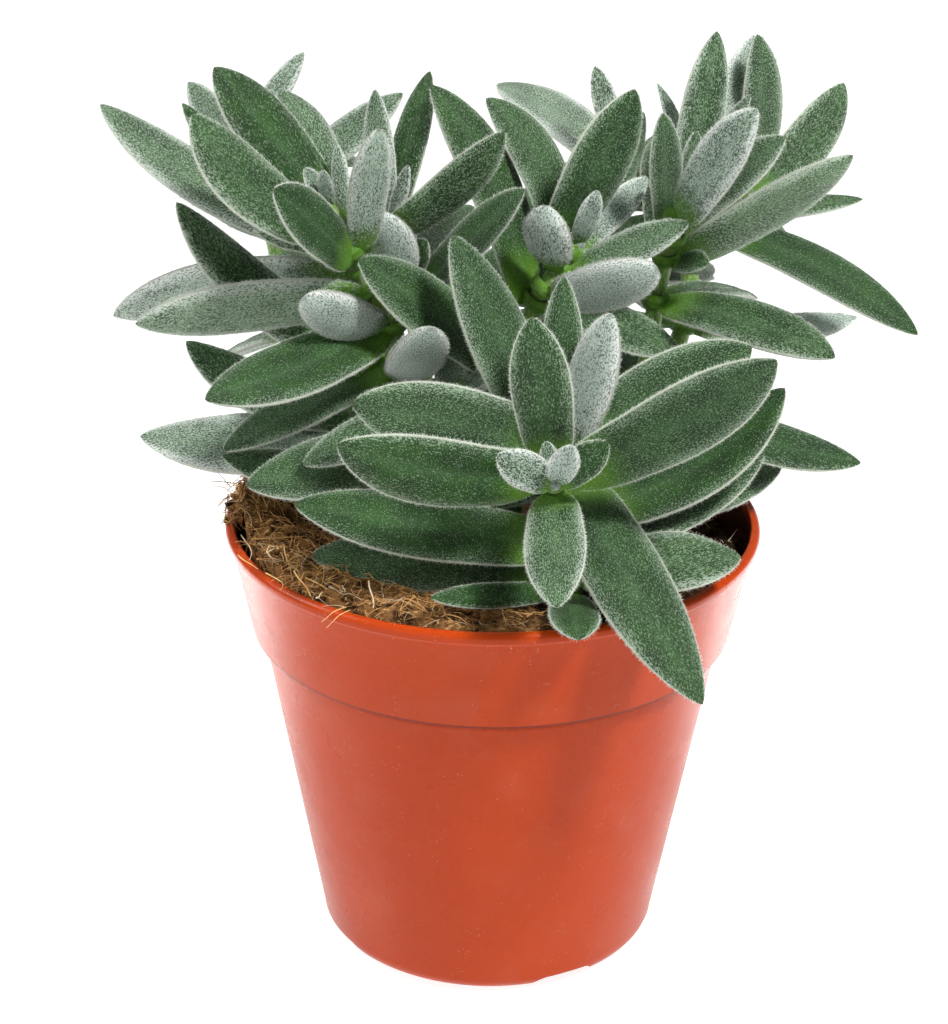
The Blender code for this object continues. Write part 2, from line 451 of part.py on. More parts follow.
def settle(stems, leaves, rounds=40, most=4.5):
    """Leaves that still touch bend apart, mostly along the line of sight."""
    count = len(leaves)
    get = lambda key: np.array([lf[key] for lf in leaves], float)
    base, chord, nrm, arch = get("base"), get("chord"), get("n"), get("arch")
    rest, end = get("sway_mid"), np.zeros((count, 3))
    mid = rest.copy()
    groups = sorted({lf["group"] for lf in leaves})
    group = np.array([groups.index(lf["group"]) for lf in leaves])
    size = lambda stations: np.array([[girth(lf, s) for s in stations] for lf in leaves])
    g_rail, g_probe = np.maximum(size(RAIL), 0.12), size(PROBE)
    posts, post_r, post_g = firm_points(stems, leaves, group)
    order = np.zeros((count, count))
    touching = 0
    for turn in range(rounds):
        c, t, w, n = frames(base, chord, nrm, arch, mid, end, RAIL)
        probe = frames(base, chord, nrm, arch, mid, end, PROBE)
        pc, pts = probe[0], skin(probe, g_probe)
        if turn % 8 == 0:
            heart = c.mean(axis=1)
            span = np.linalg.norm(c - heart[:, None, :], axis=2).max(axis=1) + g_rail[:, :, 0].max(axis=1) + 2.5
            far = np.linalg.norm(heart[:, None, :] - heart[None, :, :], axis=2)
            ii, jj = np.nonzero((far < span[:, None] + span[None, :]) & (group[:, None] != group[None, :]))
            away_from = np.linalg.norm(heart[:, None, :] - posts[None, :, :], axis=2) < span[:, None] + 4.0
        step_mid, step_end = np.zeros((count, 3)), np.zeros((count, 3))
        load = np.zeros(count)
        touching = 0

        def shift(k, s, vec):
            a, b = 4 * s * (1 - s), s * s
            q = a * a + b * b
            step_mid[k] += vec * a / q
            step_end[k] += vec * b / q
            load[k] += 1

        for lo in range(0, len(ii), 500):
            i, j = ii[lo:lo + 500], jj[lo:lo + 500]
            deep, near, lw, ln, wide = dips([c[i], t[i], w[i], n[i]], g_rail[i], pts[j])
            for m in np.nonzero((deep > 0).any(axis=1))[0]:
                a_i, b_j = i[m], j[m]
                k = int(deep[m].argmax())
                touching += 1
                face = n[a_i, near[m, k]]
                lean = float(np.dot(face, FORWARD))
                line = FORWARD if abs(lean) > 0.5 else face
                if order[a_i, b_j] == 0:
                    sep = float(np.dot(pc[b_j, k // 8] - c[a_i, near[m, k]], line))
                    order[a_i, b_j] = 1.0 if sep >= 0 else -1.0
                    order[b_j, a_i] = -order[a_i, b_j] if line is FORWARD else order[b_j, a_i]
                side = order[a_i, b_j]
                # distance to leave through the face that lies on the right side
                out = side * (1.0 if line is face or lean > 0 else -1.0)
                h = (g_rail[a_i, near[m, k], 1] if out > 0 else g_rail[a_i, near[m, k], 2]) + 0.40
                wall = h * math.sqrt(max(0.05, 1 - (lw[m, k] / wide[m, k]) ** 2))
                need = min(2.5, (wall - out * ln[m, k]) / max(0.5, abs(lean)) if line is not face
                           else wall - out * ln[m, k])
                push = line * side * need * 0.5
                s_i = RAIL[near[m, k]]
                if s_i < 0.16:
                    shift(b_j, PROBE[k // 8], push * 1.6)
                elif PROBE[k // 8] < 0.16:
                    shift(a_i, s_i, -push * 1.6)
                else:
                    shift(b_j, PROBE[k // 8], push)
                    shift(a_i, s_i, -push)
        # stems and sheaths, the rim and the substrate stand firm
        for k in range(count):
            keep = away_from[k] & (post_g != group[k])
            if keep.any():
                gap = np.linalg.norm(pts[k, 16:, None, :] - posts[None, keep, :], axis=2) - post_r[keep]
                if gap.min() < 0:
                    m, q = np.unravel_index(int(gap.argmin()), gap.shape)
                    away = unit(pc[k, m // 8 + 2] - posts[keep][q])
                    shift(k, PROBE[m // 8 + 2], away * (0.15 - gap[m, q]))
                    touching += 1
        sink = floor_under(pts) - pts[:, :, 2]
        for k in np.nonzero((sink > 0).any(axis=1))[0]:
            m = int(sink[k].argmax())
            shift(k, PROBE[m // 8], np.array([0.0, 0.0, min(1.5, float(sink[k, m]))]) * 0.7)
            touching += 1
        if touching == 0:
            break
        k = 0.8 / np.maximum(1.0, load * 0.5)[:, None]
        mid += step_mid * k
        end += step_end * k
        for bend, home in ((mid, rest), (end, 0.0)):
            length = np.linalg.norm(bend - home, axis=1, keepdims=True)
            bend[:] = home + (bend - home) * np.minimum(1.0, most / np.maximum(length, 1e-6))
    for k, lf in enumerate(leaves):
        lf["sway_mid"], lf["sway_tip"] = mid[k], end[k]
    return touching


def soil_height(x, y):
    """The substrate: heaped at the left front, sunk at the right."""
    side = -0.035 * x - 0.012 * y
    lump = 0.5 * math.sin(0.31 * x + 1.3) * math.cos(0.27 * y - 0.4) + 0.35 * math.sin(0.53 * y + 0.21 * x)
    return SOIL_TOP + max(-2.6, min(1.7, side)) + lump


# ---------------------------------------------------------------- mesh helpers
def material(name, colour, rough, metallic=0.0):
    m = bpy.data.materials.new(name)
    m.use_nodes = True
    b = m.node_tree.nodes["Principled BSDF"]
    b.inputs["Base Color"].default_value = (*colour, 1.0)
    b.inputs["Roughness"].default_value = rough
    b.inputs["Metallic"].default_value = metallic
    return m


def new_object(name, bm, mat, smooth=True):
    bmesh.ops.recalc_face_normals(bm, faces=bm.faces[:])
    me = bpy.data.meshes.new(name)
    bm.to_mesh(me)
    bm.free()
    ob = bpy.data.objects.new(name, me)
    bpy.context.scene.collection.objects.link(ob)
    me.materials.append(mat)
    if smooth:
        me.shade_smooth()
        me.set_sharp_from_angle(angle=math.radians(40))
    return ob


def rings_to_bmesh(rings, tip=None):
    """Skins closed rings of points (mm) and closes both ends."""
    bm = bmesh.new()
    rows = [[bm.verts.new([c * MM for c in p]) for p in ring] for ring in rings]
    n = len(rows[0])
    for a, b in zip(rows, rows[1:]):
        for k in range(n):
            bm.faces.new((a[k], a[(k + 1) % n], b[(k + 1) % n], b[k]))
    bm.faces.new(list(reversed(rows[0])))
    if tip is None:
        bm.faces.new(rows[-1])
    else:
        top = bm.verts.new([c * MM for c in tip])
        for k in range(n):
            bm.faces.new((rows[-1][k], rows[-1][(k + 1) % n], top))
    return bm


def leaf_rings(leaf, stations=LEAF_STATIONS, around=LEAF_AROUND, extra=0.0):
    rings = []
    for s in stations:
        c, t, w, n = midline(leaf, s)
        a, bt, bb = (x + extra for x in girth(leaf, s))
        ring = []
        for k in range(around):
            q = 2 * math.pi * k / around
            x, y = math.cos(q), math.sin(q)
            ring.append(c + w * a * x + n * (bt if y > 0 else bb) * y)
        rings.append(ring)
    tip = midline(leaf, 1.0)[0]
    return rings, tip


def tube_rings(path, radius, sides, cap_round=0.0):
    """Rings of a round stem along a path, with frames carried along it."""
    pts = np.array(path)
    n = len(pts)
    tang = [unit(pts[min(i + 1, n - 1)] - pts[max(i - 1, 0)]) for i in range(n)]
    ref = np.array([1.0, 0.0, 0.0])
    rings = []
    for i in range(n):
        ref = unit(ref - np.dot(ref, tang[i]) * tang[i])
        other = np.cross(tang[i], ref)
        r = radius[i] if isinstance(radius, list) else radius
        rings.append([pts[i] + (ref * math.cos(2 * math.pi * k / sides)
                                + other * math.sin(2 * math.pi * k / sides)) * r for k in range(sides)])
    return rings


def clasp(point, axis, r_in, r_out, half_h, sides=6):
    """The sheath round the stem: a short ring with rounded faces."""
    u = unit(np.cross(axis, [0.3, 0.8, 0.5]))
    v = np.cross(axis, u)
    k = 1.0 / math.cos(math.pi / sides)
    prof = [(r_in * k, -half_h * 0.85), (r_out, -half_h), (r_out, half_h), (r_in * k, half_h * 0.85)]
    bm = bmesh.new()
    rows = []
    for i in range(sides):
        q = 2 * math.pi * i / sides
        rad = u * math.cos(q) + v * math.sin(q)
        rows.append([bm.verts.new([c * MM for c in point + rad * r + axis * h]) for r, h in prof])
    m = len(prof)
    for i in range(sides):
        a, b = rows[i], rows[(i + 1) % sides]
        for j in range(m):
            bm.faces.new((a[j], b[j], b[(j + 1) % m], a[(j + 1) % m]))
    return bm


def boolean(target, cutter, operation):
    mod = target.modifiers.new(operation.lower(), "BOOLEAN")
    mod.operation = operation
    mod.solver = "EXACT"
    mod.object = cutter
    deps = bpy.context.evaluated_depsgraph_get()
    me = bpy.data.meshes.new_from_object(target.evaluated_get(deps))
    target.modifiers.clear()
    old = target.data
    target.data = me
    bpy.data.meshes.remove(old)
    bpy.data.objects.remove(cutter)


# ---------------------------------------------------------------- pieces
def make_pot(mat):
    """Turned shell: outer wall up, over the lip, inner wall down, with a flat floor."""
    zc = POT_H - COLLAR_H
    wall_r = lambda z: BASE_R + (BODY_TOP_R - BASE_R) * (z / zc)
    prof = [(0.0, 0.0)]
    # rounded corner between base and wall
    for k in range(4):
        q = math.radians(-90 + 30 * k)
        prof.append((wall_r(BASE_ROUND) - BASE_ROUND + BASE_ROUND * math.cos(q), BASE_ROUND + BASE_ROUND * math.sin(q)))
    prof += [(BODY_TOP_R, zc - 0.3), (COLLAR_R, zc + 0.2), (RIM_R - LIP_OUT, POT_H - LIP_H - 0.3),
             (RIM_R, POT_H - LIP_H), (RIM_R, POT_H - 0.5), (RIM_R - 0.5, POT_H),
             (RIM_R - WALL - 0.6, POT_H), (RIM_R - LIP_OUT - WALL, POT_H - LIP_H),
             (COLLAR_R - WALL + 0.1, zc + 1.6), (BODY_TOP_R - WALL, zc - 0.6),
             (wall_r(BASE_ROUND) - WALL, BASE_ROUND + 0.4), (wall_r(0) - 2.6, FLOOR_T), (0.0, FLOOR_T)]
    bm = bmesh.new()
    n = POT_SEGMENTS
    low = bm.verts.new((0, 0, prof[0][1] * MM))
    top = bm.verts.new((0, 0, prof[-1][1] * MM))
    rows = []
    for r, z in prof[1:-1]:
        rows.append([bm.verts.new((r * math.cos(2 * math.pi * k / n) * MM,
                                   r * math.sin(2 * math.pi * k / n) * MM, z * MM)) for k in range(n)])
    for k in range(n):
        bm.faces.new((low, rows[0][(k + 1) % n], rows[0][k]))
        bm.faces.new((top, rows[-1][k], rows[-1][(k + 1) % n]))
    for a, b in zip(rows, rows[1:]):
        for k in range(n):
            bm.faces.new((a[k], a[(k + 1) % n], b[(k + 1) % n], b[k]))
    pot = new_object("pot", bm, mat)
    # drain cut-outs through the corner between wall and base
    for i in range(DRAINS):
        q = math.radians(-62 + 360 * i / DRAINS)
        cut = bmesh.new()
        bmesh.ops.create_cube(cut, size=1.0)
        for v in cut.verts:
            x, y, z = v.co.x * 9.0 + BASE_R - 1.0, v.co.y * DRAIN_W, v.co.z * (DRAIN_H + 2.0) + (DRAIN_H - 2.0) / 2
            v.co = ((x * math.cos(q) - y * math.sin(q)) * MM, (x * math.sin(q) + y * math.cos(q)) * MM, z * MM)
        boolean(pot, new_object("drain_cutter", cut, mat, False), "DIFFERENCE")
    pot.data.shade_smooth()
    pot.data.set_sharp_from_angle(angle=math.radians(35))
    return pot


def make_soil(mat, stems):
    """Root ball: fills the pot and ends in a lumpy top."""
    zc = POT_H - COLLAR_H
    bm = bmesh.new()
    n = 28
    inner = lambda z: ((BASE_R + (BODY_TOP_R - BASE_R) * z / zc - WALL - GAP - 0.15) if z < zc - 1.0 else
                       (COLLAR_R + (RIM_R - COLLAR_R) * (z - zc) / COLLAR_H - WALL - LIP_OUT - GAP - 0.25))
    low = bm.verts.new((0, 0, (FLOOR_T + GAP) * MM))
    rows = []
    for r, z in [(inner(0) - 3.0, FLOOR_T + GAP), (inner(5.0), 5.0), (inner(zc - 2.4), zc - 2.4),
                 (inner(zc + 3.0), zc + 3.0)]:
        rows.append([bm.verts.new((r * math.cos(2 * math.pi * k / n) * MM, r * math.sin(2 * math.pi * k / n) * MM,
                                   z * MM)) for k in range(n)])
    for frac in (1.0, 0.82, 0.6, 0.36, 0.14):
        row = []
        for k in range(n):
            q = 2 * math.pi * k / n
            r = inner(68.0) * frac
            x, y = r * math.cos(q), r * math.sin(q)
            z = soil_height(x, y) - (1.0 if frac == 1.0 else 0.0)
            row.append(bm.verts.new((x * MM, y * MM, z * MM)))
        rows.append(row)
    top = bm.verts.new((0, 0, soil_height(0, 0) * MM))
    for k in range(n):
        bm.faces.new((low, rows[0][(k + 1) % n], rows[0][k]))
        bm.faces.new((top, rows[-1][k], rows[-1][(k + 1) % n]))
    for a, b in zip(rows, rows[1:]):
        for k in range(n):
            bm.faces.new((a[k], a[(k + 1) % n], b[(k + 1) % n], b[k]))
    soil = new_object("substrate", bm, mat)
    # sockets where the cuttings are rooted
    for st in stems:
        boolean(soil, new_object("socket_cutter", stem_bore(st, 0.0), mat, False), "DIFFERENCE")
    return soil


def stem_curve(st):
    """Centre line and radii of a stem; it stops just short of the bud."""
    path = st["path"]
    curve = np.vstack([spline(path[:3], 2)[:-1], path[2:]])
    back = curve[-2] - curve[-1]
    curve[-1] = curve[-1] + unit(back) * min(1.25, 0.45 * np.linalg.norm(back))
    radii = [st["r"] * (1.08 - 0.22 * i / (len(curve) - 1)) for i in range(len(curve))]
    return curve, radii


def stem_bore(st, ahead):
    """A stem thickened by the gap: cuts sockets and leaf bases clear of the stem."""
    curve, radii = stem_curve(st)
    curve[0] = curve[0] - unit(curve[1] - curve[0]) * GAP
    curve[-1] = curve[-1] + unit(curve[-1] - curve[-2]) * ahead
    return rings_to_bmesh(tube_rings(curve, [(r + GAP) * 1.03 for r in radii], STEM_SIDES))


def make_stem(st, mat):
    curve, radii = stem_curve(st)
    rings = tube_rings(curve, radii, STEM_SIDES)
    return new_object(st["name"], rings_to_bmesh(rings), mat)


def make_pair(name, members, stem, mat):
    """Two leaves and the sheath that joins them, as one solid."""
    first = members[0]
    if first["last"]:
        # terminal bud: a small rounded core with the unopened leaves
        axis, p = first["axis"], first["node"]
        core = [p + axis * h for h in (-0.8, 0.2, 1.4, 2.2)]
        radii = [1.1, 1.7, 1.3, 0.5]
        rings = []
        for c, r in zip(core, radii):
            rings += tube_rings([c, c + axis * 0.01], r, 6)[:1]
        body = new_object(name, rings_to_bmesh(rings), mat)
    else:
        r_in = stem["r"] * 1.08 + GAP
        body = new_object(name, clasp(first["node"], first["axis"], r_in, r_in + CLASP_WALL, CLASP_H / 2), mat)
    for leaf in members:
        rings, tip = leaf_rings(leaf)
        boolean(body, new_object("blade", rings_to_bmesh(rings, tip), mat), "UNION")
    # the leaf bases are hollowed to clear the stem
    boolean(body, new_object("bore_cutter", stem_bore(stem, GAP), mat, False), "DIFFERENCE")
    body.data.shade_smooth()
    body.data.set_sharp_from_angle(angle=math.radians(45))
    return body


def main():
    for ob in list(bpy.data.objects):
        bpy.data.objects.remove(ob, do_unlink=True)
    stems, leaves = grow()
    arrange(stems, leaves)
    left = settle(stems, leaves)
    print("settled, contacts left:", left)
    pot_mat = material("pot_plastic", (0.60, 0.10, 0.03), 0.38)
    soil_mat = material("coir_substrate", (0.10, 0.05, 0.02), 0.95)
    stem_mat = material("stem_skin", (0.20, 0.36, 0.04), 0.55)
    leaf_mat = material("leaf_skin", (0.09, 0.17, 0.07), 0.7)
    make_pot(pot_mat)
    make_soil(soil_mat, stems)
    by_name = {}
    for st in stems:
        by_name[st["name"]] = st
        make_stem(st, stem_mat)
    groups = {}
    for lf in leaves:
        groups.setdefault(lf["group"], []).append(lf)
    for name, members in groups.items():
        body = make_pair(name, members, by_name[members[0]["stem"]], leaf_mat)
        # where bases crowd together, the younger one is pressed in by the older
        for young, old in CROWDED:
            for leaf in groups[old] if young == name else []:
                rings, tip = leaf_rings(leaf, extra=GAP * 1.3)
                boolean(body, new_object("press", rings_to_bmesh(rings, tip), leaf_mat, False), "DIFFERENCE")


main()
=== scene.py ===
"""Looks of the potted crassula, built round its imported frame.

The plant's layout and growth are those of the CAD model, in millimetres, so that every
fine leaf lies where its solid does.
"""
import json
import math

import bmesh
import bpy
import numpy as np
from mathutils import Matrix, Vector, noise
from mathutils.bvhtree import BVHTree

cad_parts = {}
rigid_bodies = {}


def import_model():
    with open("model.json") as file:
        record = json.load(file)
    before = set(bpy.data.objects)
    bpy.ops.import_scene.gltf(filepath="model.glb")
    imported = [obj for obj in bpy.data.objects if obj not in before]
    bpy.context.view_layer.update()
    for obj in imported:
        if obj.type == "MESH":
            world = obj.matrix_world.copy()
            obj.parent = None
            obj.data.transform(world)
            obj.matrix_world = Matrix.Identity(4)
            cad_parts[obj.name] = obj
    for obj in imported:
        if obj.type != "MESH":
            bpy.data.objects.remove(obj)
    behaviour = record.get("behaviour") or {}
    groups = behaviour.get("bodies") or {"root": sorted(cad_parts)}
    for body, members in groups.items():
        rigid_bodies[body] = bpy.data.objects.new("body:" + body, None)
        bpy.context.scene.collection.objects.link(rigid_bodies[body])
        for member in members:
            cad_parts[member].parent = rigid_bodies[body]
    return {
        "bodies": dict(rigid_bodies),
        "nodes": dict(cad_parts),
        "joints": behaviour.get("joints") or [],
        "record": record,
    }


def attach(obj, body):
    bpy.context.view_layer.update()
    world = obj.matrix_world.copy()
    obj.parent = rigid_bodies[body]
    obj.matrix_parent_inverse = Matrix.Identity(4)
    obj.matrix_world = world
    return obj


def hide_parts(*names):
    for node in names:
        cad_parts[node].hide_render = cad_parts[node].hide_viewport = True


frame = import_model()

# ---------------------------------------------------------------- driving dimensions (mm)
MM = 0.001
RIM_R = 42.5            # outer radius of the rim
POT_H = 72.2            # height of the pot
COLLAR_H = 17.6         # height of the collar below the rim
COLLAR_R = 38.6         # outer radius at the collar's lower edge
BODY_TOP_R = 37.0       # outer radius of the body just below the collar
BASE_R = 26.9           # outer radius at the base
BASE_ROUND = 3.2        # rounding between wall and base
WALL = 0.95             # wall thickness
FLOOR_T = 1.3           # thickness of the pot's floor
LIP_H = 1.6             # height of the rolled lip at the rim
LIP_OUT = 0.6           # how far the lip stands out
DRAINS = 4              # cut-outs round the base
DRAIN_W = 11.0
DRAIN_H = 2.2
GAP = 0.3               # clearance kept between neighbouring pieces
SOIL_TOP = 69.2         # mean height of the substrate
POT_SEGMENTS = 36
STEM_SIDES = 6
LEAF_AROUND = 6         # points round a leaf
LEAF_STATIONS = (0.0, 0.20, 0.44, 0.68, 0.88)   # along a leaf, then the tip
CLASP_WALL = 0.8        # wall of the sheath that joins a pair round its stem
CLASP_H = 2.2           # height of that sheath

# ---------------------------------------------------------------- layout drawing
EYE = np.array([-3.0, -435.0, 270.9])
PITCH = math.radians(24.49)
ROLL = math.radians(0.64)
FOCAL = 3000.0
MID_U, MID_V = 474.0, 512.0
FORWARD = np.array([0.0, math.cos(PITCH), -math.sin(PITCH)])
RIGHT = np.array([1.0, 0.0, 0.0])
UPWARD = np.array([0.0, math.sin(PITCH), math.cos(PITCH)])


def unit(v):
    n = np.linalg.norm(v)
    return v / n if n > 1e-9 else v


def sight(u, v):
    """Unit direction from the eye through the drawing's point (u, v)."""
    du, dv = u - MID_U, v - MID_V
    cr, sr = math.cos(ROLL), math.sin(ROLL)
    a, b = du * cr + dv * sr, -du * sr + dv * cr
    return unit(FORWARD + RIGHT * (a / FOCAL) - UPWARD * (b / FOCAL))


def at(u, v, y):
    """The point of space seen at (u, v) that lies at depth y."""
    d = sight(u, v)
    return EYE + d * ((y - EYE[1]) / d[1])


def aim(base, u, v, length, near):
    """Leaf chord from base to the sight line through (u, v), as long as length says.

    near = 1 takes the tip nearer the viewer, -1 the tip farther away."""
    d = sight(u, v)
    rel = EYE - base
    b = float(np.dot(rel, d))
    c = float(np.dot(rel, rel)) - length * length
    disc = b * b - c
    root = math.sqrt(disc) if disc > 0 else 0.0
    return EYE + d * (-b - near * root) - base


def polar(azimuth, elevation, length):
    """Leaf chord from a compass direction (0 = +X, 90 = +Y) and a rise, in degrees."""
    a, e = math.radians(azimuth), math.radians(elevation)
    return length * np.array([math.cos(a) * math.cos(e), math.sin(a) * math.cos(e), math.sin(e)])


# ---------------------------------------------------------------- the plant's layout
# L(u, v, length, width, near, ...)  leaf with its tip on the layout drawing; y gives
#       the tip's depth where the length is not the thing to hold
# P(azimuth, rise, length, width, ...)  leaf with its tip by compass direction
# arch: rise of the midline above the chord in mm (minus: the tip curls up)
# bow:  sideways bulge of the midline in mm, to the left of the leaf's own direction
# show: the most that the upper face may be turned away from the viewer, in degrees;
#       over 90 the pale underside shows
# blunt: roundness of the tip (lower is rounder);  thick: thickness over width
def L(u, v, length, width, near=1, arch=1.0, show=28.0, blunt=0.75, thick=0.30, y=None, bow=0.0):
    return dict(uv=(u, v), length=length, width=width, near=near, arch=arch, show=show,
                blunt=blunt, thick=thick, y=y, bow=bow)


def P(az, el, length, width, arch=1.0, show=180.0, blunt=0.75, thick=0.30):
    return dict(polar=(az, el), length=length, width=width, arch=arch, show=show,
                blunt=blunt, thick=thick, bow=0.0)


